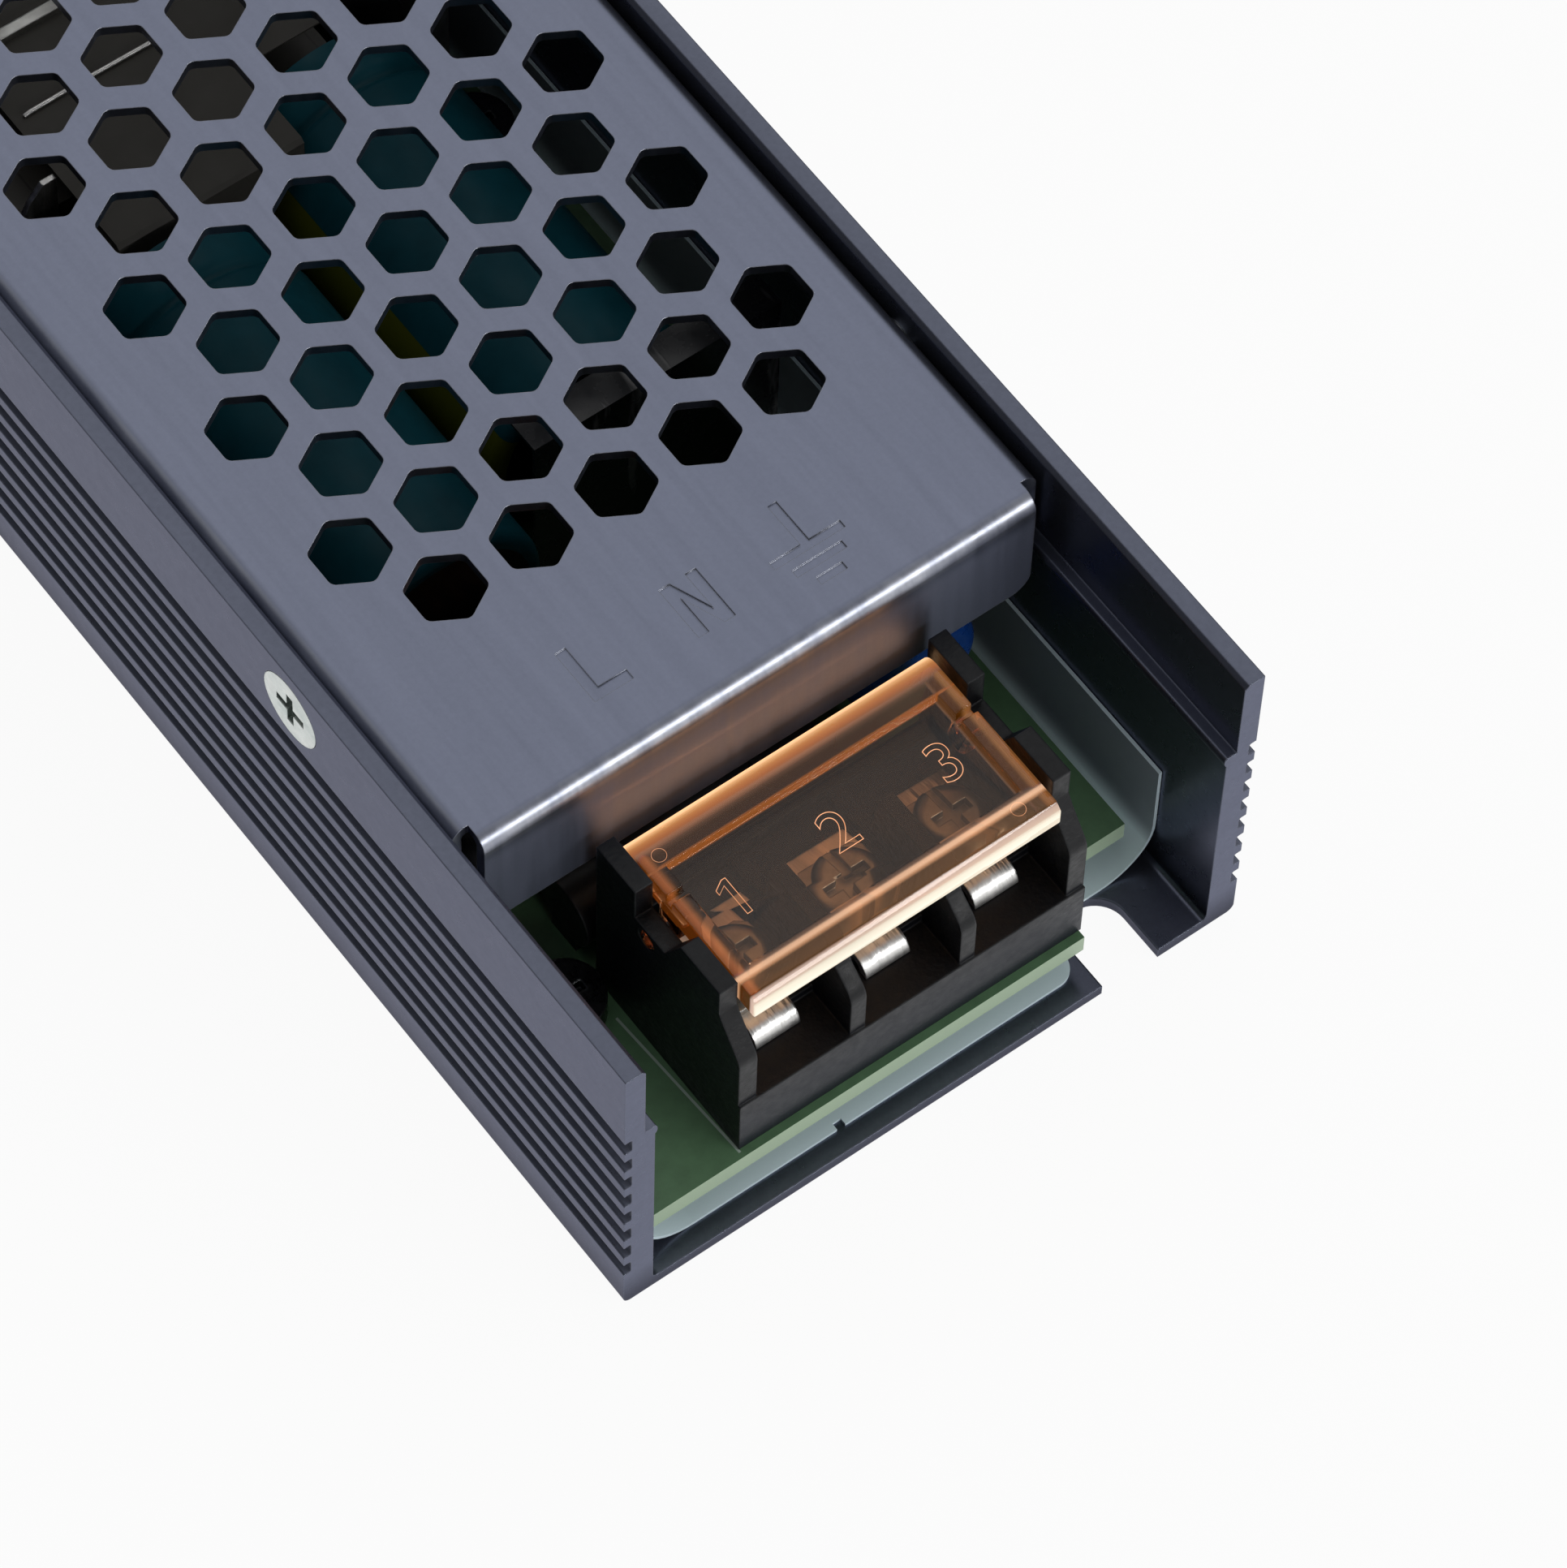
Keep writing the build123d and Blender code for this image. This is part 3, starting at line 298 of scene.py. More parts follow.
# Grooves made non-metallic so that they show lighter: painted light in the grooves' shade
depth = math_of(tree, "SUBTRACT", cad_high.x, math_of(tree, "ABSOLUTE", spot["X"]))
in_groove = math_of(tree, "MULTIPLY", math_of(tree, "GREATER_THAN", depth, groove_mouth),
                    math_of(tree, "LESS_THAN", depth, groove_floor))
in_groove = math_of(tree, "MULTIPLY", in_groove, math_of(tree, "LESS_THAN", spot["Z"], grooves_top))
in_groove = math_of(tree, "MULTIPLY", in_groove, math_of(tree, "SUBTRACT", 1.0, sawn))
# Edges paler: partly rubbed, partly a painted highlight
worn = math_of(tree, "MULTIPLY", edge, 0.55)
feed(tree, shader, Base_Color=blend(tree, worn, tone, rgb(slate_worn_and_highlit)),
     Metallic=math_of(tree, "SUBTRACT", thin_coat, math_of(tree, "MULTIPLY", in_groove, thin_coat)),
     Roughness=grain(tree, 900.0, low=0.26, high=0.32),
     Normal=bumped(tree, speckle, 0.000008, 0.2, normal))
dress(channel_finish, "case_extrusion")

# Insulating film: one milky blue polyester sheet that lies on the channel's
# base under the board, with its long sides curled up the walls. The curled-up
# sides are painted darker, as painted shade
film_finish, tree, shader = finish("milky_film", (0.62, 0.74, 0.84), Roughness=0.38, IOR=1.5)
shader.inputs["Transmission Weight"].default_value = 0.06
facing = facing_of(tree)
# Faces that stand up the walls get the dark colour: painted shade
up_wall_painted_shade = span(tree, math_of(tree, "ABSOLUTE", facing["X"]), 0.90, 0.995)
feed(tree, shader, Base_Color=blend(tree, up_wall_painted_shade, rgb((0.78, 0.94, 1.0)), rgb((0.26, 0.30, 0.35))),
     Roughness=grain(tree, 300.0, low=0.30, high=0.5),
     Normal=bumped(tree, grain(tree, 120.0), 0.0001, 0.1))
dress(film_finish, "insulating_film")

# Circuit board: glass-fibre laminate under a green solder mask, with pale
# routed edges and a printed line beside the input block
end_y = cad_low.y
board_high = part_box("circuit_board")[1]
mask_green = (0.092, 0.190, 0.094)
laminate = (0.42, 0.55, 0.39)
board_finish, tree, shader = finish("green_board", mask_green, Roughness=0.42)
facing = facing_of(tree)
is_edge = span(tree, math_of(tree, "ABSOLUTE", facing["Z"]), 0.6, 0.3)
weave = grain(tree, 900.0, low=0.85, high=1.12)
tone = scaled(tree, mask_green, weave)
print_from = Vector((-13.66 * mm, end_y + 2.1 * mm, board_high.z))
print_half = 0.09 * mm
print_to = Vector((-14.27 * mm, end_y + 14.3 * mm, board_high.z))
along = (print_to - print_from).normalized()
across = along.cross(Vector((0, 0, 1)))
where = add(tree, "ShaderNodeTexCoord").outputs["Object"]
offset = add(tree, "ShaderNodeVectorMath", {0: where, 1: print_from}, operation="SUBTRACT").outputs[0]
run = add(tree, "ShaderNodeVectorMath", {0: offset, 1: along}, operation="DOT_PRODUCT").outputs["Value"]
side = math_of(tree, "ABSOLUTE", add(tree, "ShaderNodeVectorMath", {0: offset, 1: across},
                                     operation="DOT_PRODUCT").outputs["Value"])
on_line = math_of(tree, "MULTIPLY", math_of(tree, "LESS_THAN", side, print_half),
                  math_of(tree, "MULTIPLY", math_of(tree, "GREATER_THAN", run, 0.0),
                          math_of(tree, "LESS_THAN", run, (print_to - print_from).length)))
painted = blend(tree, on_line, tone, rgb((0.34, 0.42, 0.36)))
feed(tree, shader, Base_Color=blend(tree, is_edge, painted, rgb(laminate)),
     Normal=bumped(tree, weave, 0.00003, 0.25))
dress(board_finish, "circuit_board")

# Board fixings: zinc-plated steel standoffs pressed into the base, and
# black-plated pan head screws that hold the board down on them
zinc, tree, shader = finish("zinc_plate", (0.62, 0.66, 0.66), Metallic=1.0)
edge, normal = soft_edges(tree, 0.00012)
feed(tree, shader, Roughness=grain(tree, 1800.0, low=0.22, high=0.42),
     Base_Color=blend(tree, grain(tree, 500.0), rgb((0.50, 0.56, 0.54)), rgb((0.70, 0.72, 0.70))),
     Normal=bumped(tree, grain(tree, 2500.0), 0.00003, 0.3, normal))
dress(zinc, "board_standoffs")
black_zinc, tree, shader = finish("black_zinc", (0.035, 0.037, 0.040), Metallic=1.0)
edge, normal = soft_edges(tree, 0.00022)
feed(tree, shader, Roughness=grain(tree, 1400.0, low=0.20, high=0.38),
     Base_Color=blend(tree, edge, rgb((0.035, 0.037, 0.040)), rgb((0.30, 0.31, 0.32))),
     Normal=bumped(tree, grain(tree, 2200.0), 0.00003, 0.3, normal))
dress(black_zinc, "board_screws")

# Terminal blocks: black glass-filled nylon, moulded in one piece with its
# barriers and hinge ears, soldered to the board, greyer where it is rubbed. Its
# end-facing faces are painted lighter low down, as painted light
moulding_black = (0.0040, 0.0044, 0.0058)
block_finish, tree, shader = finish("black_moulding", moulding_black, Specular_IOR_Level=0.28)
edge, normal = soft_edges(tree, 0.00022)
pitted = grain(tree, 2200.0)
facing = facing_of(tree)
spot = place_of(tree)
# End-facing faces painted lighter low down: painted light from the front
lit_low_down = span(tree, spot["Z"], 11.5 * mm, 8.0 * mm)
endways_facing = math_of(tree, "GREATER_THAN", math_of(tree, "ABSOLUTE", facing["Y"]), 0.7)
body = blend(tree, math_of(tree, "MULTIPLY", lit_low_down, endways_facing), rgb(moulding_black),
             rgb((0.0135, 0.0155, 0.0225)))
rubbed = math_of(tree, "MULTIPLY", edge, 0.5)
feed(tree, shader, Base_Color=blend(tree, rubbed, body, rgb((0.035, 0.037, 0.043))),
     Roughness=grain(tree, 1500.0, low=0.34, high=0.52),
     Normal=bumped(tree, pitted, 0.00006, 0.35, normal))
dress(block_finish, "ac_terminal_block", "dc_terminal_block")

# Contacts: tinned brass strip, stamped and rolled to a lip at the mouth of
# each pole, with a leg down to the board
tin, tree, shader = finish("bright_tin", (0.78, 0.77, 0.75), Metallic=1.0)
edge, normal = soft_edges(tree, 0.00015)
streaks = grain(tree, 1150.0, stretch=(1, 0.16, 0.16))
feed(tree, shader, Base_Color=blend(tree, streaks, rgb((0.66, 0.65, 0.63)), rgb((1.0, 0.99, 0.97))),
     Roughness=grain(tree, 1000.0, stretch=(1, 0.1, 0.1), low=0.26, high=0.50),
     Normal=bumped(tree, streaks, 0.00012, 0.7, normal))
dress(tin, "ac_contacts", "dc_contacts")

# Terminal screws and clamp washers: steel with a thin passivated zinc plate,
# pressed and cold headed, and darker than the tin: partly a duller plate and
# partly painted shade under the amber cover
# Darker colour: partly the plate, partly painted shade under the cover
dull_and_shaded_plate, tree, shader = finish("dull_and_shaded_plate", (0.36, 0.36, 0.35), Metallic=1.0)
edge, normal = soft_edges(tree, 0.00015)
clouded = grain(tree, 800.0)
feed(tree, shader, Base_Color=blend(tree, math_of(tree, "MULTIPLY", edge, 0.5),
                                    blend(tree, clouded, rgb((0.27, 0.27, 0.26)), rgb((0.44, 0.44, 0.42))),
                                    rgb((0.70, 0.70, 0.68))),
     Roughness=grain(tree, 1300.0, low=0.28, high=0.46),
     Normal=bumped(tree, grain(tree, 2200.0), 0.00004, 0.3, normal))
dress(dull_and_shaded_plate, *[f"{end}_{part}_{pole}" for end in ("ac", "dc") for pole in (1, 2, 3)
                    for part in ("clamp_washer", "terminal_screw")])

# Hinged covers: clear amber polycarbonate, moulded with a recess on top. The
# light that its edges gather is painted on as emission, a painted glow. Outline
# numbers for the poles stand proud of the plate, and so do two small ejector
# rings; they glow with painted emission too
def merged_copy(node, name):
    """A joined-up copy of a CAD node's loose triangles, as a new object."""
    mesh = nodes[node].data.copy()
    work = bmesh.new()
    work.from_mesh(mesh)
    bmesh.ops.remove_doubles(work, verts=work.verts, dist=0.000002)
    bmesh.ops.dissolve_limit(work, angle_limit=math.radians(0.5), verts=work.verts, edges=work.edges)
    work.to_mesh(mesh)
    work.free()
    mesh.name = name
    mesh.materials.clear()
    made = bpy.data.objects.new(name, mesh)
    scene.collection.objects.link(made)
    return made


def applied(piece):
    """The piece with its modifiers turned into plain mesh."""
    bpy.context.view_layer.update()
    done = piece.evaluated_get(bpy.context.evaluated_depsgraph_get())
    mesh = bpy.data.meshes.new_from_object(done)
    piece.modifiers.clear()
    piece.data = mesh
    return piece


def smooth(piece, angle=35):
    piece.data.shade_smooth()
    piece.data.set_sharp_from_angle(angle=math.radians(angle))
    return piece


def plan_uv(piece, centre, turn=1.0, axes=(0, 1)):
    """A UV map that holds the offset from a centre along two axes, in mm."""
    layer = piece.data.uv_layers.new(name="plan")
    for loop in piece.data.loops:
        place = piece.data.vertices[loop.vertex_index].co
        layer.data[loop.index].uv = [turn * (place[axis] - centre[axis]) / mm for axis in axes]


flap_low, flap_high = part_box("ac_terminal_cover")
recess_depth = 0.75 * mm
plate_bottom = 18.62 * mm
block_low, block_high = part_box("ac_terminal_block")
block_x = (block_low.x + block_high.x) / 2
flap_middle = Vector((block_x, (flap_low.y + flap_high.y) / 2, 0))
amber, tree, shader = finish("amber_clear", (0.87, 0.76, 0.68), Roughness=0.03, IOR=1.42,
                            Specular_IOR_Level=0.22)
shader.inputs["Transmission Weight"].default_value = 1.0
plan = add(tree, "ShaderNodeSeparateXYZ", {0: add(tree, "ShaderNodeTexCoord").outputs["UV"]}).outputs
spot = place_of(tree)


def painted_glow_along(tree, offset, reach, stops):
    """A colour ramp of painted glow over offsets from -reach to reach, from (offset, colour) stops."""
    place = span(tree, offset, -reach, reach)
    ramp = add(tree, "ShaderNodeValToRGB", {0: place})
    elements = ramp.color_ramp.elements
    while len(elements) > 1:
        elements.remove(elements[-1])
    for number, (where, color) in enumerate(stops):
        position = (where + reach) / (2 * reach)
        element = elements[0] if number == 0 else elements.new(position)
        element.position = position
        element.color = rgb(color)
    return ramp.outputs["Color"]


# Colour of the painted glow, emission standing in for the light gathered at
# the edges, across the plate, front to back, and along it, at offsets in mm from
# its middle
dark = (0.0, 0.0, 0.0)
across = painted_glow_along(tree, plan["Y"], 7.5, [
    (-7.3, (0.93, 0.85, 0.68)), (-6.94, (0.93, 0.85, 0.68)), (-6.85, (0.74, 0.54, 0.42)),
    (-6.58, (0.62, 0.44, 0.36)), (-6.45, (0.08, 0.036, 0.01)), (-5.55, (0.06, 0.025, 0.005)),
    (-5.36, (0.48, 0.23, 0.11)), (-5.2, (0.76, 0.45, 0.27)), (-5.0, (0.72, 0.42, 0.26)),
    (-4.88, (0.15, 0.08, 0.05)), (-4.6, dark), (3.84, dark), (3.92, (0.30, 0.09, 0.022)),
    (4.05, (0.22, 0.065, 0.012)), (4.15, (0.02, 0.005, 0.0)), (4.8, (0.025, 0.008, 0.0)),
    (5.1, (0.07, 0.03, 0.013)), (5.4, (0.24, 0.10, 0.05)), (5.7, (0.38, 0.13, 0.05)),
    (6.0, (0.49, 0.19, 0.062)), (6.3, (0.76, 0.38, 0.15)), (6.5, (1.05, 0.60, 0.31)),
    (6.85, (1.50, 0.84, 0.42)), (7.3, (0.30, 0.10, 0.02))])
painted_glow_endways = painted_glow_along(tree, plan["X"], 12.5, [
    (-11.9, (0.02, 0.0, 0.0)), (-11.65, (0.12, 0.03, 0.002)), (-11.5, (0.21, 0.05, 0.005)),
    (-11.2, (0.28, 0.08, 0.02)), (-11.0, (0.16, 0.05, 0.01)), (-10.8, (0.04, 0.012, 0.0)), (-10.6, dark),
    (10.2, dark), (10.28, (0.14, 0.065, 0.03)), (10.5, (0.045, 0.012, 0.0)), (10.9, (0.06, 0.017, 0.0)),
    (11.2, (0.22, 0.09, 0.025)), (11.5, (0.24, 0.09, 0.028)), (11.8, (0.10, 0.04, 0.01))])
painted_glow_colour = add(tree, "ShaderNodeVectorMath", {0: across, 1: painted_glow_endways}, operation="MAXIMUM").outputs[0]
streaky = grain(tree, 130.0, stretch=(0.25, 4.0, 1.0), low=0.82, high=1.14)
facing = facing_of(tree)
outward = math_of(tree, "MULTIPLY", math_of(tree, "GREATER_THAN", facing["Z"], -0.3),
                  math_of(tree, "GREATER_THAN", spot["Z"], plate_bottom))
from_inside = add(tree, "ShaderNodeNewGeometry").outputs["Backfacing"]
outward = math_of(tree, "MULTIPLY", outward, math_of(tree, "SUBTRACT", 1.0, from_inside))
painted_glow_share = math_of(tree, "MULTIPLY", outward, streaky)
glow = scaled(tree, painted_glow_colour, painted_glow_share)
pin_from = 11.85
pin = math_of(tree, "GREATER_THAN", math_of(tree, "ABSOLUTE", plan["X"]), pin_from)
# Emission paints the gathered light on: a painted glow, the plate is no lamp
feed(tree, shader, Emission_Color=glow,
     Base_Color=blend(tree, pin, rgb((0.87, 0.74, 0.60)), rgb((0.10, 0.04, 0.02))))
shader.inputs["Emission Strength"].default_value = 1.0
depth_tint = add(tree, "ShaderNodeVolumeAbsorption", {"Color": (0.82, 0.50, 0.19, 1), "Density": 620.0})
tree.links.new(depth_tint.outputs[0], tree.nodes["Material Output"].inputs["Volume"])

glowing_ridge, tree, shader = finish("amber_ridge_painted_glow", (0.95, 0.52, 0.30), Roughness=0.25, IOR=1.49)
shader.inputs["Transmission Weight"].default_value = 0.25
# The numbers and rings glow by emission: painted light
shader.inputs["Emission Strength"].default_value = 0.5
clear = blend(tree, grain(tree, 900.0), rgb((0.80, 0.36, 0.17)), rgb((1.0, 0.66, 0.42)))
feed(tree, shader, Base_Color=clear,
     Emission_Color=blend(tree, grain(tree, 700.0), rgb((0.5, 0.2, 0.08)), rgb((1.0, 0.55, 0.3))))

digit_size = 4.2 * mm
one_outline = [(0.10, -1.42), (0.48, -1.42), (0.48, 1.42), (0.18, 1.42), (-0.52, 0.98), (-0.52, 0.62),
               (0.10, 1.00)]
digit_places = ((-8.25, 0.02), (-0.15, -0.05), (8.14, 0.0))
ring_places = ((-10.35, 4.75), (9.45, -5.55))
ring_radius = 0.50 * mm
ridge_radius = 0.032 * mm


def tube_of(curve, name):
    """A curve with its round section as plain mesh."""
    made = bpy.data.objects.new(name, curve)
    scene.collection.objects.link(made)
    bpy.context.view_layer.update()
    mesh = bpy.data.meshes.new_from_object(made.evaluated_get(bpy.context.evaluated_depsgraph_get()))
    bpy.data.objects.remove(made)
    return mesh


def joined(name, meshes, material=None):
    """Several meshes as the mesh of one new object."""
    work = bmesh.new()
    for mesh in meshes:
        work.from_mesh(mesh)
    mesh = bpy.data.meshes.new(name)
    work.to_mesh(mesh)
    work.free()
    made = bpy.data.objects.new(name, mesh)
    scene.collection.objects.link(made)
    if material is not None:
        mesh.materials.clear()
        mesh.materials.append(material)
    return made


for end, turn in (("ac", 1.0), ("dc", -1.0)):
    node = f"{end}_terminal_cover"
    flap = merged_copy(node, f"{end}_amber_cover")
    rounding = flap.modifiers.new("edges", "BEVEL")
    rounding.width = 0.22 * mm
    rounding.segments = 2
    rounding.limit_method = "ANGLE"
    rounding.angle_limit = math.radians(30)
    rounding.use_clamp_overlap = True
    applied(flap)
    smooth(flap, 50)
    plan_uv(flap, turn * flap_middle, turn)
    flap.data.materials.append(amber)
    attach(flap, node)
    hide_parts(node)
    lines = []
    for digit, (u, v) in zip("123", digit_places):
        if digit == "1":
            curve = bpy.data.curves.new("digit_1", "CURVE")
            curve.dimensions = "3D"
            spline = curve.splines.new("POLY")
            spline.points.add(len(one_outline) - 1)
            for point, (x, y) in zip(spline.points, one_outline):
                point.co = (x * mm, y * mm, 0, 1)
            spline.use_cyclic_u = True
        else:
            curve = bpy.data.curves.new(f"digit_{digit}", "FONT")
            curve.body = digit
            curve.size = digit_size
            curve.align_x = "CENTER"
            curve.align_y = "CENTER"
            curve.fill_mode = "NONE"
        curve.bevel_depth = ridge_radius
        curve.bevel_resolution = 2
        mesh = tube_of(curve, f"{end}_digit_{digit}")
        mesh.transform(Matrix.Translation((u * mm, v * mm, flap_high.z - recess_depth + 0.5 * ridge_radius)))
        lines.append(mesh)
    for number, (u, v) in enumerate(ring_places):
        curve = bpy.data.curves.new(f"ring_{number}", "CURVE")
        curve.dimensions = "3D"
        curve.bevel_depth = 0.4 * ridge_radius
        spline = curve.splines.new("NURBS")
        spline.points.add(7)
        for index, point in enumerate(spline.points):
            angle = index * math.pi / 4
            point.co = (1.07 * ring_radius * math.cos(angle), 1.07 * ring_radius * math.sin(angle), 0, 1)
        spline.use_cyclic_u = True
        mesh = tube_of(curve, f"{end}_ring_{number}")
        mesh.transform(Matrix.Translation((u * mm, v * mm, flap_high.z - 0.3 * ridge_radius)))
        lines.append(mesh)
    marks = joined(f"{end}_cover_numbers", lines, glowing_ridge)
    place = turn * flap_middle
    marks.data.transform(Matrix.Translation(place) @ Matrix.Rotation(0 if turn > 0 else math.pi, 4, "Z"))
    marks.data.shade_smooth()
    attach(marks, node)

# Fuse: a glass tube with two end caps, in a black shrunk sleeve
# that hugs the caps, soldered across the board's input
def plain_finish(name, color, roughness, metallic=0.0):
    """A slightly mottled finish that is paler along the edges."""
    made, tree, shader = finish(name, color, Metallic=metallic, Specular_IOR_Level=0.35)
    edge, normal = soft_edges(tree, 0.00018)
    mottled = grain(tree, 900.0, low=0.82, high=1.15)
    tone = scaled(tree, color, mottled)
    lighter = tuple(min(1.0, 1.6 * part + 0.02) for part in color)
    worn = math_of(tree, "MULTIPLY", edge, 0.5)
    feed(tree, shader, Base_Color=blend(tree, worn, tone, rgb(lighter)),
         Roughness=grain(tree, 1200.0, low=0.85 * roughness, high=1.25 * roughness),
         Normal=bumped(tree, grain(tree, 1600.0), 0.00003, 0.2, normal))
    return made


dress(plain_finish("shrunk_sleeve", (0.008, 0.008, 0.009), 0.42), "fuse_caps", "fuse_tube")

# Varistor and safety capacitors: ceramic discs on two leads, dipped in
# blue epoxy that runs thick and glossy round the rim
dress(plain_finish("blue_epoxy", (0.003, 0.045, 0.24), 0.28), "varistor", "safety_capacitors")

# Line capacitor: wound plastic film in a moulded black box, filled with
# resin from below
dress(plain_finish("box_black", (0.014, 0.014, 0.015), 0.38), "line_capacitor")

# Ring chokes: enamelled wire wound by hand in two halves on a ferrite ring.
# Each turn is a rounded loop of wire, placed along an arc by Geometry Nodes
def geometry_group(name, inputs):
    group = bpy.data.node_groups.new(name, "GeometryNodeTree")
    group.interface.new_socket("Geometry", in_out="INPUT", socket_type="NodeSocketGeometry")
    for label, kind in inputs:
        group.interface.new_socket(label, in_out="INPUT", socket_type=kind)
    group.interface.new_socket("Geometry", in_out="OUTPUT", socket_type="NodeSocketGeometry")
    return group, group.nodes.new("NodeGroupInput").outputs, group.nodes.new("NodeGroupOutput")


def grown(name, group, values):
    """The plain mesh that a node group grows with these input values."""
    made = bpy.data.objects.new(name, bpy.data.meshes.new(name))
    scene.collection.objects.link(made)
    grow = made.modifiers.new("grow", "NODES")
    grow.node_group = group
    for item in group.interface.items_tree:
        if item.in_out == "INPUT" and item.name in values:
            grow[item.identifier] = values[item.name]
    return applied(made)


turns, given, result = geometry_group("ring_turns", [
    ("Turns", "NodeSocketInt"), ("Middle Radius", "NodeSocketFloat"), ("Loop Depth", "NodeSocketFloat"),
    ("Loop Height", "NodeSocketFloat"), ("Wire Radius", "NodeSocketFloat"), ("Sweep", "NodeSocketFloat"),
    ("Material", "NodeSocketMaterial")])
half_gap = math_of(turns, "MULTIPLY", math_of(turns, "SUBTRACT", math.pi, given["Sweep"]), 0.5)
first_arc = add(turns, "GeometryNodeCurveArc", {
    "Resolution": given["Turns"], "Radius": given["Middle Radius"], "Start Angle": half_gap,
    "Sweep Angle": given["Sweep"]})
second_arc = add(turns, "GeometryNodeTransform", {0: first_arc.outputs[0], "Rotation": (0, 0, math.pi)})
arcs = turns.nodes.new("GeometryNodeJoinGeometry")
turns.links.new(first_arc.outputs[0], arcs.inputs[0])
turns.links.new(second_arc.outputs[0], arcs.inputs[0])
frame_curve = add(turns, "GeometryNodeCurvePrimitiveQuadrilateral", {
    "Width": given["Loop Depth"], "Height": given["Loop Height"]})
round_curve = turns.nodes.new("GeometryNodeFilletCurve")
round_curve.mode = "POLY"
turns.links.new(frame_curve.outputs[0], round_curve.inputs["Curve"])
turns.links.new(given["Wire Radius"], round_curve.inputs["Radius"])
round_curve.inputs["Count"].default_value = 3
upright_loop = add(turns, "GeometryNodeTransform", {0: round_curve.outputs[0],
                                                    "Rotation": (math.pi / 2, 0, 0)})
section = add(turns, "GeometryNodeCurvePrimitiveCircle", {"Resolution": 7, "Radius": given["Wire Radius"]})
wire_loop = add(turns, "GeometryNodeCurveToMesh", {"Curve": upright_loop.outputs[0],
                                                   "Profile Curve": section.outputs[0]})
spot = add(turns, "ShaderNodeSeparateXYZ", {0: turns.nodes.new("GeometryNodeInputPosition").outputs[0]})
heading = math_of(turns, "ARCTAN2", spot.outputs["Y"], spot.outputs["X"])
uneven = 0.035
wobble = turns.nodes.new("FunctionNodeRandomValue")
wobble.inputs[2].default_value = -uneven
wobble.inputs[3].default_value = uneven
wobble.inputs["Seed"].default_value = 7
facing = add(turns, "ShaderNodeCombineXYZ", {"Z": math_of(turns, "ADD", heading, wobble.outputs[1])})
placed = add(turns, "GeometryNodeInstanceOnPoints", {
    "Points": arcs.outputs[0], "Instance": wire_loop.outputs[0], "Rotation": facing.outputs[0]})
real = add(turns, "GeometryNodeRealizeInstances", {0: placed.outputs[0]})
even = add(turns, "GeometryNodeSetShadeSmooth", {0: real.outputs[0]})
coated = add(turns, "GeometryNodeSetMaterial", {0: even.outputs[0], "Material": given["Material"]})
turns.links.new(coated.outputs[0], result.inputs[0])

copper, tree, shader = finish("enamelled_copper", (0.45, 0.16, 0.05), Metallic=0.9)
lacquered = blend(tree, grain(tree, 700.0), rgb((0.32, 0.10, 0.03)), rgb((0.62, 0.26, 0.10)))
feed(tree, shader, Base_Color=lacquered, Roughness=grain(tree, 1200.0, low=0.18, high=0.34),
     Normal=bumped(tree, grain(tree, 1800.0), 0.00003, 0.2))
ferrite, tree, shader = finish("ferrite_grey", (0.030, 0.029, 0.029))
edge, normal = soft_edges(tree, 0.0003)
sintered = blend(tree, grain(tree, 2200.0), rgb((0.022, 0.021, 0.021)), rgb((0.048, 0.046, 0.045)))
feed(tree, shader, Base_Color=sintered, Roughness=grain(tree, 1500.0, low=0.45, high=0.70),
     Normal=bumped(tree, grain(tree, 2500.0), 0.00005, 0.4, normal))
dress(ferrite, "line_choke_core", "output_choke_core", "filter_choke_core")
wire_radius = 0.38 * mm
end_gap = 2.4 * mm
for choke in ("line_choke", "output_choke"):
    shell_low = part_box(f"{choke}_winding")[0]
    ring_low, ring_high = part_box(f"{choke}_core")
    middle = (ring_low + ring_high) / 2
    outer = (ring_high.x - ring_low.x) / 2
    inner = {"line_choke": 3.4 * mm, "output_choke": 4.6 * mm}[choke]
    thick = 2 * wire_radius
    sweep = math.pi - (end_gap + thick) / inner
    turn_count = int(inner * sweep / (1.06 * thick)) + 1
    winding = grown(f"{choke}_turns", turns, {
        "Turns": turn_count, "Middle Radius": (inner + outer) / 2, "Loop Depth": outer - inner + thick,
        "Loop Height": ring_high.z - ring_low.z + thick, "Wire Radius": wire_radius, "Sweep": sweep,
        "Material": copper})
    winding.data.transform(Matrix.Translation(middle))
    work = bmesh.new()
    work.from_mesh(winding.data)
    lead_low, lead_high = shell_low.z, ring_low.z
    for turned in (-sweep / 2, sweep / 2, math.pi - sweep / 2, math.pi + sweep / 2):
        foot = Matrix.Rotation(math.pi / 2 + turned, 4, "Z") @ Vector((outer + wire_radius, 0, 0))
        place = Vector((middle.x + foot.x, middle.y + foot.y, (lead_low + lead_high) / 2))
        bmesh.ops.create_cone(work, cap_ends=True, segments=12, radius1=wire_radius, radius2=wire_radius,
                              depth=lead_high - lead_low, matrix=Matrix.Translation(place))
    work.to_mesh(winding.data)
    work.free()
    smooth(winding, 50)
    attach(winding, "case")
    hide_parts(f"{choke}_winding")

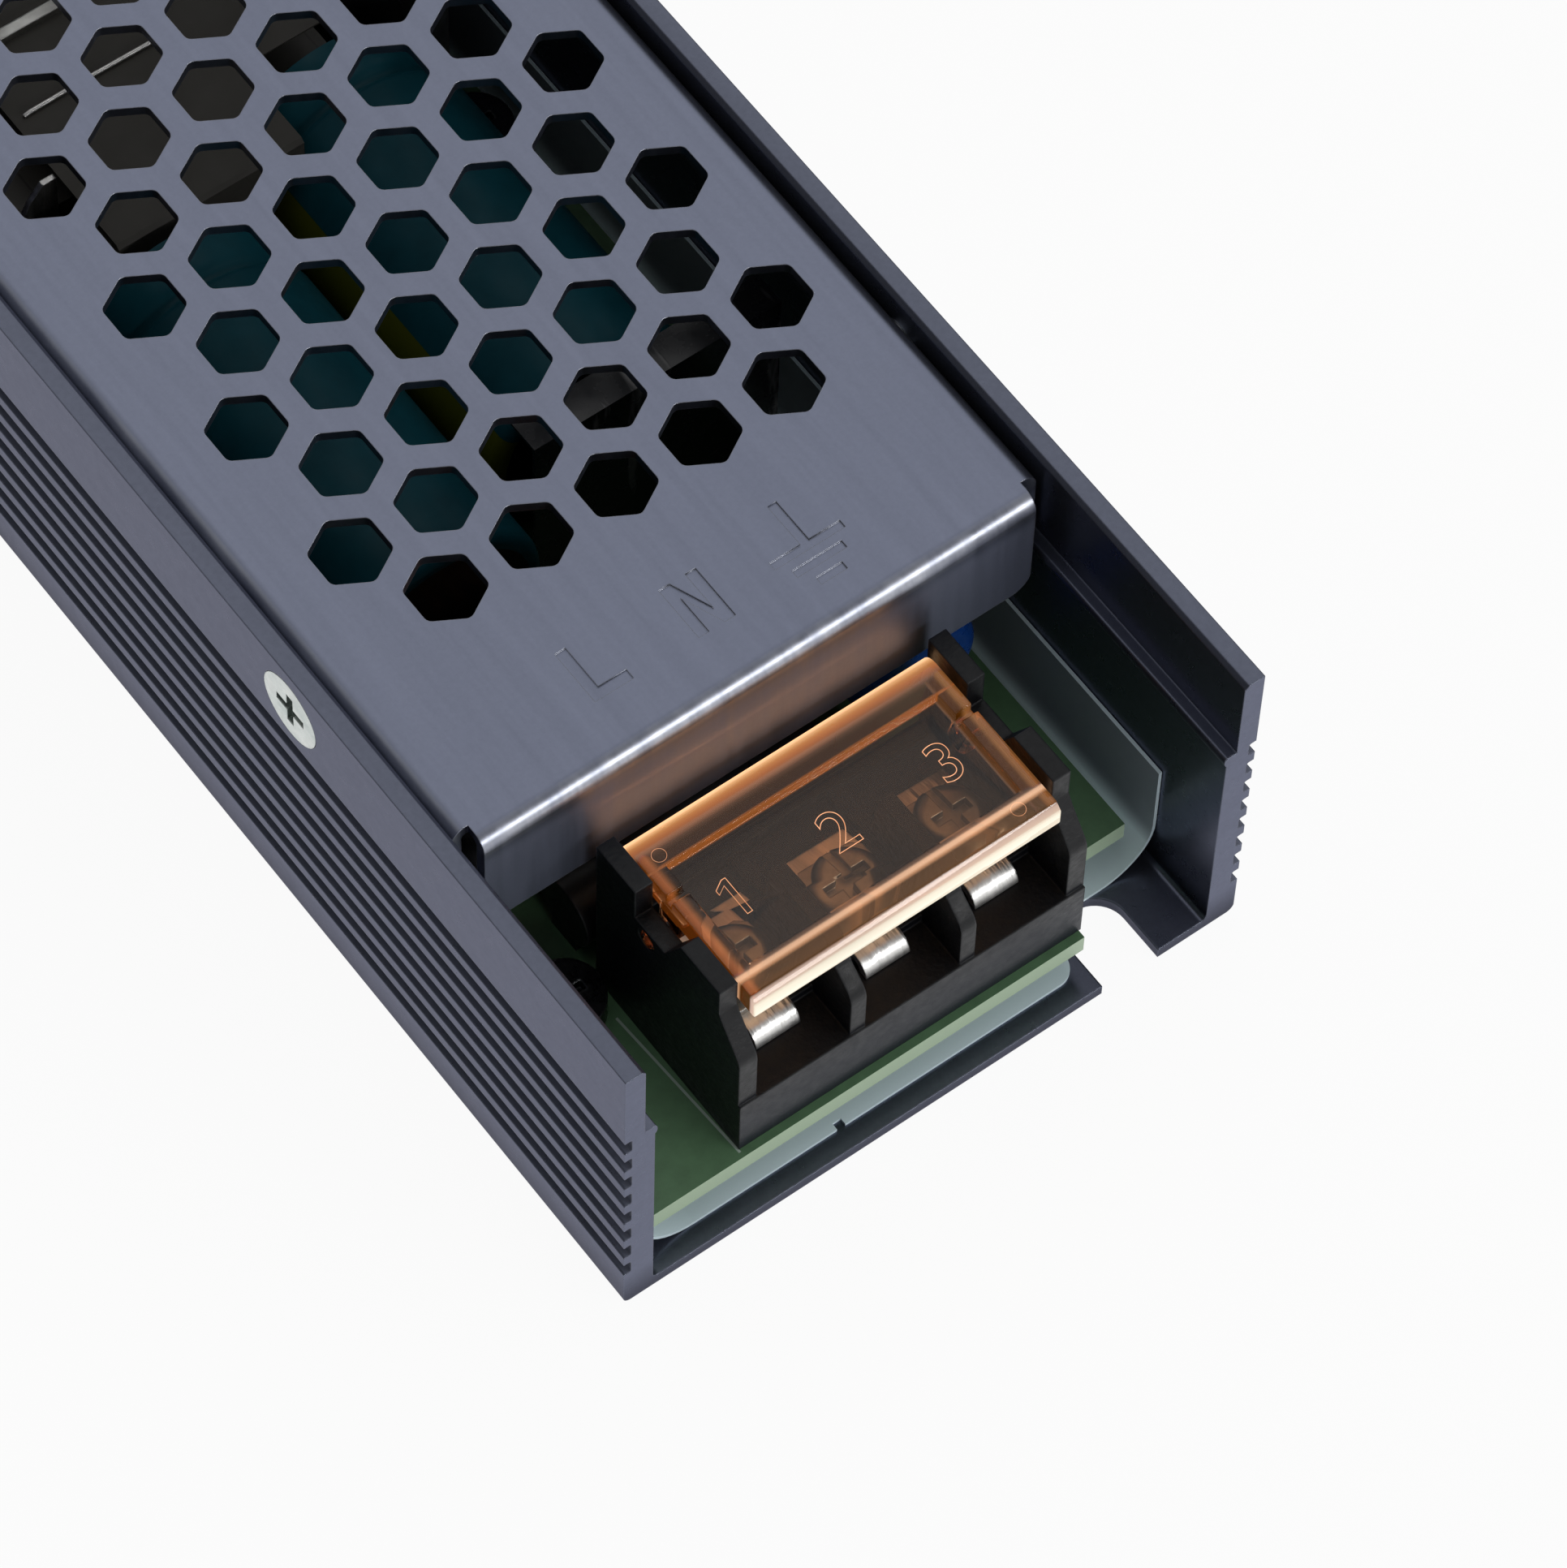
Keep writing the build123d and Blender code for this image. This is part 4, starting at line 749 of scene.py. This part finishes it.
# Drum choke: one layer of the same enamelled wire, wound close between the
# two flanges of a ferrite drum
stack, given, result = geometry_group("stacked_turns", [
    ("Turns", "NodeSocketInt"), ("Coil Radius", "NodeSocketFloat"), ("Wire Radius", "NodeSocketFloat"),
    ("Coil Height", "NodeSocketFloat"), ("Material", "NodeSocketMaterial")])
step = math_of(stack, "DIVIDE", given["Coil Height"], given["Turns"])
offset = add(stack, "ShaderNodeCombineXYZ", {"Z": step})
start_point = add(stack, "ShaderNodeCombineXYZ", {"Z": math_of(stack, "MULTIPLY", step, 0.5)})
levels = stack.nodes.new("GeometryNodeMeshLine")
stack.links.new(given["Turns"], levels.inputs["Count"])
stack.links.new(start_point.outputs[0], levels.inputs["Start Location"])
stack.links.new(offset.outputs[0], levels.inputs["Offset"])
hoop = add(stack, "GeometryNodeCurvePrimitiveCircle", {"Resolution": 40, "Radius": given["Coil Radius"]})
section = add(stack, "GeometryNodeCurvePrimitiveCircle", {"Resolution": 8, "Radius": given["Wire Radius"]})
ring = add(stack, "GeometryNodeCurveToMesh", {"Curve": hoop.outputs[0], "Profile Curve": section.outputs[0]})
placed = add(stack, "GeometryNodeInstanceOnPoints", {"Points": levels.outputs[0],
                                                     "Instance": ring.outputs[0]})
real = add(stack, "GeometryNodeRealizeInstances", {0: placed.outputs[0]})
even = add(stack, "GeometryNodeSetShadeSmooth", {0: real.outputs[0]})
coated = add(stack, "GeometryNodeSetMaterial", {0: even.outputs[0], "Material": given["Material"]})
stack.links.new(coated.outputs[0], result.inputs[0])
coil_low, coil_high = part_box("filter_choke_winding")
coil_turns = 9
coil_wire = (coil_high.z - coil_low.z) / coil_turns / 2
coil = grown("filter_choke_turns", stack, {
    "Turns": coil_turns, "Coil Radius": (coil_high.x - coil_low.x) / 2 - coil_wire, "Wire Radius": coil_wire,
    "Coil Height": coil_high.z - coil_low.z, "Material": copper})
coil_middle = (coil_low + coil_high) / 2
coil.data.transform(Matrix.Translation((coil_middle.x, coil_middle.y, coil_low.z)))
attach(coil, "case")
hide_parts("filter_choke_winding")

# Insulating strip: a glossy black plastic sheet that stands between the line
# filter and the bulk capacitors, finely scratched in handling
sheet_black, tree, shader = finish("scratched_black", (0.008, 0.008, 0.010), Specular_IOR_Level=0.40)
scratch = span(tree, grain(tree, 520.0, stretch=(1, 0.16, 0.16)), 0.70, 0.86)
scratch_2 = span(tree, grain(tree, 300.0, stretch=(0.14, 1, 1)), 0.86, 0.97)
marked = math_of(tree, "MAXIMUM", scratch, scratch_2)
feed(tree, shader, Base_Color=blend(tree, marked, rgb((0.016, 0.017, 0.020)), rgb((0.19, 0.19, 0.195))),
     Roughness=grain(tree, 600.0, low=0.16, high=0.34), Normal=bumped(tree, marked, 0.00005, 0.3))
dress(sheet_black, "insulating_strip")

# Electrolytic capacitors: aluminium cans in a shrunk teal sleeve with an
# olive stripe at the negative side, bare at the vented end
vent_half = 0.22


def sleeve(name, along, stripe_from, stripe_to, can_radius, sealed=False):
    """A sleeve whose plan UV holds the offset from the can's axis, in mm."""
    made, tree, shader = finish(name, (0.003, 0.045, 0.056), Specular_IOR_Level=0.14)
    offset = add(tree, "ShaderNodeTexCoord").outputs["UV"]
    parts = add(tree, "ShaderNodeSeparateXYZ", {0: offset}).outputs
    angle = math_of(tree, "ARCTAN2", parts["Y"], parts["X"])
    around = math_of(tree, "MODULO", math_of(tree, "ADD", angle, 2 * math.pi), 2 * math.pi)
    stripe = math_of(tree, "MULTIPLY", math_of(tree, "GREATER_THAN", around, math.radians(stripe_from)),
                     math_of(tree, "LESS_THAN", around, math.radians(stripe_to)))
    teal = blend(tree, grain(tree, 240.0), rgb((0.003, 0.046, 0.064)), rgb((0.005, 0.068, 0.092)))
    wrapped = blend(tree, stripe, teal, rgb((0.085, 0.095, 0.006)))
    facing = facing_of(tree)
    radius = add(tree, "ShaderNodeVectorMath", {0: offset}, operation="LENGTH").outputs["Value"]
    within = math_of(tree, "LESS_THAN", radius, can_radius)
    bare = math_of(tree, "MULTIPLY", within, math_of(tree, "GREATER_THAN", facing[along], 0.8))
    bar_u = math_of(tree, "LESS_THAN", math_of(tree, "ABSOLUTE", parts["X"]), vent_half)
    bar_v = math_of(tree, "LESS_THAN", math_of(tree, "ABSOLUTE", parts["Y"]), vent_half)
    vent = math_of(tree, "MULTIPLY", bare, math_of(tree, "MAXIMUM", bar_u, bar_v))
    metal = blend(tree, vent, rgb((0.55, 0.56, 0.57)), rgb((0.20, 0.20, 0.21)))
    if sealed:
        stopper = math_of(tree, "MULTIPLY", within, math_of(tree, "LESS_THAN", facing[along], -0.8))
        wrapped = blend(tree, stopper, wrapped, rgb((0.006, 0.006, 0.007)))
    feed(tree, shader, Base_Color=blend(tree, bare, wrapped, metal), Metallic=bare,
         Roughness=grain(tree, 500.0, low=0.34, high=0.50),
         Normal=bumped(tree, grain(tree, 320.0), 0.00006, 0.25))
    return made


def islands_uv(piece, axes):
    """The plan UV of each loose solid of a piece, from its own middle."""
    work = bmesh.new()
    work.from_mesh(piece.data)
    layer = work.loops.layers.uv.new("plan")
    left_over = set(work.faces)
    while left_over:
        island = [left_over.pop()]
        for face in island:
            for side in face.edges:
                for near in side.link_faces:
                    if near in left_over:
                        left_over.discard(near)
                        island.append(near)
        places = [corner.vert.co for face in island for corner in face.loops]
        middle = [(min(p[axis] for p in places) + max(p[axis] for p in places)) / 2 for axis in axes]
        for face in island:
            for corner in face.loops:
                corner[layer].uv = [(corner.vert.co[axis] - value) / mm for axis, value in zip(axes, middle)]
    work.to_mesh(piece.data)
    work.free()


def dressed_copy(node, name, material, axes, centre=None):
    piece = merged_copy(node, name)
    if centre is None:
        islands_uv(piece, axes)
    else:
        plan_uv(piece, centre, axes=axes)
    smooth(piece, 40)
    piece.data.materials.append(material)
    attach(piece, "case")
    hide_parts(node)


for number, stripe_angles in ((1, (215.0, 262.0)), (2, (149.0, 205.0))):
    node = f"bulk_capacitor_{number}"
    can_low, can_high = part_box(node)
    bulk_sleeve = sleeve(f"bulk_sleeve_{number}", "Y", *stripe_angles, 6.9, sealed=True)
    centre = Vector(((can_low.x + can_high.x) / 2, 0, can_high.z - (can_high.x - can_low.x) / 2))
    dressed_copy(node, f"sleeved_{node}", bulk_sleeve, (0, 2), centre)
small_sleeve = sleeve("small_sleeve", "Z", 60.0, 110.0, 4.1)
dressed_copy("output_capacitors", "sleeved_output_capacitors", small_sleeve, (0, 1))

# Transformer: ferrite halves and coils wrapped in taupe polyester tape, with
# a folded taupe paper over the top and the next capacitor, a bent tinned tab
# at its side and one tinned link lying across the paper
tape, tree, shader = finish("taupe_tape", (0.030, 0.028, 0.025), Specular_IOR_Level=0.3)
spot = place_of(tree)
lap = math_of(tree, "FRACT", math_of(tree, "MULTIPLY", spot["X"], 1 / (4.3 * mm)))
seam = math_of(tree, "LESS_THAN", lap, 0.035)
tone = blend(tree, grain(tree, 160.0), rgb((0.060, 0.057, 0.051)), rgb((0.085, 0.080, 0.072)))
feed(tree, shader, Base_Color=blend(tree, seam, tone, rgb((0.045, 0.042, 0.038))),
     Roughness=grain(tree, 400.0, low=0.30, high=0.48),
     Normal=bumped(tree, math_of(tree, "ADD", grain(tree, 300.0), seam), 0.00008, 0.35))
dress(tape, "transformer_winding", "transformer_core", "transformer_bobbin", "snubber_capacitor")
paper_high = 21.2
paper_steps = [(-12.2, 9.2, 95.4, 78.3), (-12.2, 2.2, 78.3, 71.5)]
paper_points = []
paper_faces = []
for left, right, back, front in paper_steps:
    first = len(paper_points)
    paper_points += [(left, back, paper_high), (right, back, paper_high), (right, front, paper_high),
                     (left, front, paper_high)]
    paper_faces.append((first, first + 3, first + 2, first + 1))
first = len(paper_points)
paper_points += [(-12.2, 71.5, paper_high), (2.2, 71.5, paper_high), (2.2, 71.2, paper_high - 0.3),
                 (-12.2, 71.2, paper_high - 0.3), (2.2, 71.2, 14.0), (-12.2, 71.2, 14.0)]
paper_faces += [(first, first + 3, first + 2, first + 1), (first + 3, first + 5, first + 4, first + 2)]
paper = bpy.data.objects.new("transformer_paper", bpy.data.meshes.new("transformer_paper"))
scene.collection.objects.link(paper)
paper.data.from_pydata([(x * mm, end_y + y * mm, z * mm) for x, y, z in paper_points], [], paper_faces)
thick = paper.modifiers.new("thick", "SOLIDIFY")
thick.thickness = 0.15 * mm
thick.offset = -1
applied(paper)
paper_finish, tree, shader = finish("taupe_paper", (0.09, 0.085, 0.075), Specular_IOR_Level=0.25)
fibrous = blend(tree, grain(tree, 130.0), rgb((0.050, 0.047, 0.041)), rgb((0.068, 0.064, 0.057)))
feed(tree, shader, Base_Color=fibrous,
     Roughness=grain(tree, 500.0, low=0.42, high=0.6), Normal=bumped(tree, grain(tree, 900.0), 0.00004, 0.3))
paper.data.materials.append(paper_finish)
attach(paper, "case")
tab = bpy.data.objects.new("transformer_tab", bpy.data.meshes.new("transformer_tab"))
scene.collection.objects.link(tab)
tab_outline = [(-12.3, 10.0), (-12.3, 20.9), (-13.3, 20.9), (-14.4, 19.6), (-15.0, 18.4), (-15.0, 10.0)]
tab_y = end_y + 78.45 * mm
tab.data.from_pydata([(x * mm, tab_y, z * mm) for x, z in tab_outline], [], [(0, 5, 4, 3, 2, 1)])
thick = tab.modifiers.new("thick", "SOLIDIFY")
thick.thickness = 0.4 * mm
thick.offset = 0
applied(tab)
work = bmesh.new()
work.from_mesh(tab.data)
bmesh.ops.recalc_face_normals(work, faces=work.faces)
work.to_mesh(tab.data)
work.free()
tab.data.materials.clear()
tab.data.materials.append(tin)
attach(tab, "case")
link_path = [(0.2, 83.2, 21.42), (-6.0, 83.25, 21.44), (-10.9, 83.2, 21.42), (-11.4, 83.2, 21.30)]
curve = bpy.data.curves.new("transformer_link", "CURVE")
curve.dimensions = "3D"
curve.bevel_depth = 0.16 * mm
curve.bevel_resolution = 3
curve.use_fill_caps = True
spline = curve.splines.new("POLY")
spline.points.add(len(link_path) - 1)
for point, (x, y, z) in zip(spline.points, link_path):
    point.co = (x * mm, end_y + y * mm, z * mm, 1)
link = joined("transformer_link", [tube_of(curve, "transformer_link_wire")], tin)
link.data.shade_smooth()
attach(link, "case")

# Power parts and small chips: silicon on a metal frame, moulded in black
# epoxy, and a thermistor disc dipped in the same black
moulded_epoxy = plain_finish("moulded_epoxy", (0.010, 0.010, 0.012), 0.50)
dress(moulded_epoxy, "power_transistors", "output_rectifiers", "bridge_rectifier", "optocoupler",
      "control_chip", "thermistor")

# Heat sinks and clips: sawn aluminium bars that stand on the board, and the
# bent strips of spring steel that press the power parts to them
dress(plain_finish("plain_aluminium", (0.40, 0.40, 0.41), 0.42, metallic=1.0), "primary_heat_sink",
      "output_heat_sink")
dress(plain_finish("spring_steel", (0.50, 0.50, 0.48), 0.34, metallic=1.0), "power_transistor_clips",
      "output_rectifier_clips", "transformer_clip")

# Trimmer and lamp: a blue thermoplastic body with a white slotted rotor sets
# the output voltage, and a clear green lamp beside it shows that it is on
dress(plain_finish("trimmer_blue", (0.02, 0.10, 0.42), 0.4), "trimmer_body")
dress(plain_finish("rotor_white", (0.62, 0.62, 0.58), 0.45), "trimmer_rotor")
dress(plain_finish("lamp_green", (0.10, 0.36, 0.12), 0.15), "indicator_lamp")

# Cover: one punched and folded aluminium sheet, brushed and coated like the
# channel, with bends rubbed paler and painted bright as a painted highlight, and
# the marks for live, neutral and earth pressed in. Its flanges slip down inside
# the channel's walls
stamp_depth = 0.12 * mm


def prisms(name, outlines, low, high):
    """Upright solids on flat outlines, as one object."""
    work = bmesh.new()
    for outline in outlines:
        base = work.faces.new([work.verts.new((x, y, low)) for x, y in outline])
        lifted = bmesh.ops.extrude_face_region(work, geom=[base])["geom"]
        bmesh.ops.translate(work, verts=[v for v in lifted if isinstance(v, bmesh.types.BMVert)],
                            vec=(0, 0, high - low))
    bmesh.ops.recalc_face_normals(work, faces=work.faces)
    mesh = bpy.data.meshes.new(name)
    work.to_mesh(mesh)
    work.free()
    made = bpy.data.objects.new(name, mesh)
    scene.collection.objects.link(made)
    return made


def bar(x0, y0, x1, y1):
    return [(x0, y0), (x1, y0), (x1, y1), (x0, y1)]


cover_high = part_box("mesh_cover")[1]
mark_height = 4.2 * mm
stroke = 0.78 * mm
live_x, neutral_x, earth_x = -8.22 * mm, -0.43 * mm, 7.56 * mm
mark_low = end_y + 22.95 * mm
mark_high = mark_low + mark_height
live_width = 2.9 * mm
live_left = live_x - live_width / 2
live_right = live_left + live_width
live = [[(live_left, mark_low), (live_right, mark_low), (live_right, mark_low + stroke),
         (live_left + stroke, mark_low + stroke), (live_left + stroke, mark_high), (live_left, mark_high)]]
neutral_width = 2.8 * mm
left = neutral_x - neutral_width / 2
right = neutral_x + neutral_width / 2
slant = 1.05 * stroke
neutral = [[(left, mark_low), (left + stroke, mark_low), (left + stroke, mark_high - 1.5 * slant),
            (right - slant, mark_low), (right, mark_low), (right, mark_high), (right - stroke, mark_high),
            (right - stroke, mark_low + 1.5 * slant), (left + slant, mark_high), (left, mark_high)]]
earth_bar = 0.6 * mm
earth_step = 1.25 * mm
earth_top = end_y + 24.9 * mm + 3.25 * mm
stem_low = earth_top - 3.4 * mm
stem_half = 0.33 * mm
wide_half = 2.7 * mm
earth = [[(earth_x - wide_half, stem_low - earth_bar), (earth_x + wide_half, stem_low - earth_bar),
          (earth_x + wide_half, stem_low), (earth_x + stem_half, stem_low), (earth_x + stem_half, earth_top),
          (earth_x - stem_half, earth_top), (earth_x - stem_half, stem_low), (earth_x - wide_half, stem_low)]]
for step, half in ((1, 1.9 * mm), (2, 1.0 * mm)):
    low = stem_low - earth_bar - step * earth_step
    earth.append(bar(earth_x - half, low, earth_x + half, low + earth_bar))
marks = prisms("marks_cutter", live + neutral + earth, cover_high.z - stamp_depth, cover_high.z + stamp_depth)
cover = merged_copy("mesh_cover", "stamped_cover")
punch_radius = 0.30 * mm
work = bmesh.new()
work.from_mesh(cover.data)
corners = [edge for edge in work.edges if len(edge.link_faces) == 2
           and abs((edge.verts[0].co - edge.verts[1].co).normalized().z) > 0.999
           and abs(edge.calc_face_angle() - math.radians(60)) < math.radians(3)]
bmesh.ops.bevel(work, geom=corners, offset=punch_radius, segments=3, profile=0.5, affect="EDGES")
work.to_mesh(cover.data)
work.free()
cut = cover.modifiers.new("marks", "BOOLEAN")
cut.operation = "DIFFERENCE"
cut.solver = "EXACT"
cut.object = marks
applied(cover)
bpy.data.objects.remove(marks)
smooth(cover, 30)
even = cover.modifiers.new("even_shading", "WEIGHTED_NORMAL")
even.keep_sharp = True
applied(cover)
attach(cover, "case")
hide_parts("mesh_cover")

sheet_slate = (0.190, 0.208, 0.278)
sheet_rubbed_and_highlit = (0.80, 0.82, 0.87)
cover_finish, tree, shader = finish("slate_brushed_sheet", sheet_slate, Metallic=1.0)
edge, normal = soft_edges(tree, 0.00012)
brushed = grain(tree, 1500.0, stretch=(1, 0.03, 0.03), low=0.97, high=1.03)
speckle = grain(tree, 3200.0, low=0.965, high=1.035)
tone = scaled(tree, sheet_slate, math_of(tree, "MULTIPLY", speckle, brushed))
matt = grain(tree, 1200.0, stretch=(1, 0.05, 0.05), low=0.32, high=0.42)
spot = place_of(tree)
bend = 1.1 * mm
near_top = span(tree, spot["Z"], cover_high.z - 1.6 * bend, cover_high.z - 0.3 * bend)
past_end = span(tree, math_of(tree, "ABSOLUTE", spot["Y"]), cover_high.y - 0.9 * bend, cover_high.y)
past_side = span(tree, math_of(tree, "ABSOLUTE", spot["X"]), cover_high.x - 0.8 * bend, cover_high.x)
on_bend = math_of(tree, "MULTIPLY", near_top, math_of(tree, "MAXIMUM", past_end, past_side))
# The bends and edges go paler: partly rubbed, partly a painted highlight
worn = math_of(tree, "MULTIPLY", on_bend, grain(tree, 900.0, stretch=(1, 0.25, 0.25), low=0.2, high=0.9))
rougher = span(tree, spot["Z"], cover_high.z - 1.2 * bend, cover_high.z - 2.4 * bend, 0.0, 0.16)
wear_and_highlight = math_of(tree, "MAXIMUM", worn, math_of(tree, "MULTIPLY", edge, 0.35))
feed(tree, shader, Base_Color=blend(tree, wear_and_highlight, tone, rgb(sheet_rubbed_and_highlit)),
     Roughness=math_of(tree, "ADD", rougher, matt),
     Normal=bumped(tree, brushed, 0.00001, 0.25, normal))
cover.data.materials.append(cover_finish)

# Cover screws: countersunk zinc-plated steel screws with a cross recess, which
# go through the walls into the cover's side flanges
dress(zinc, "cover_screws")

low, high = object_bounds()
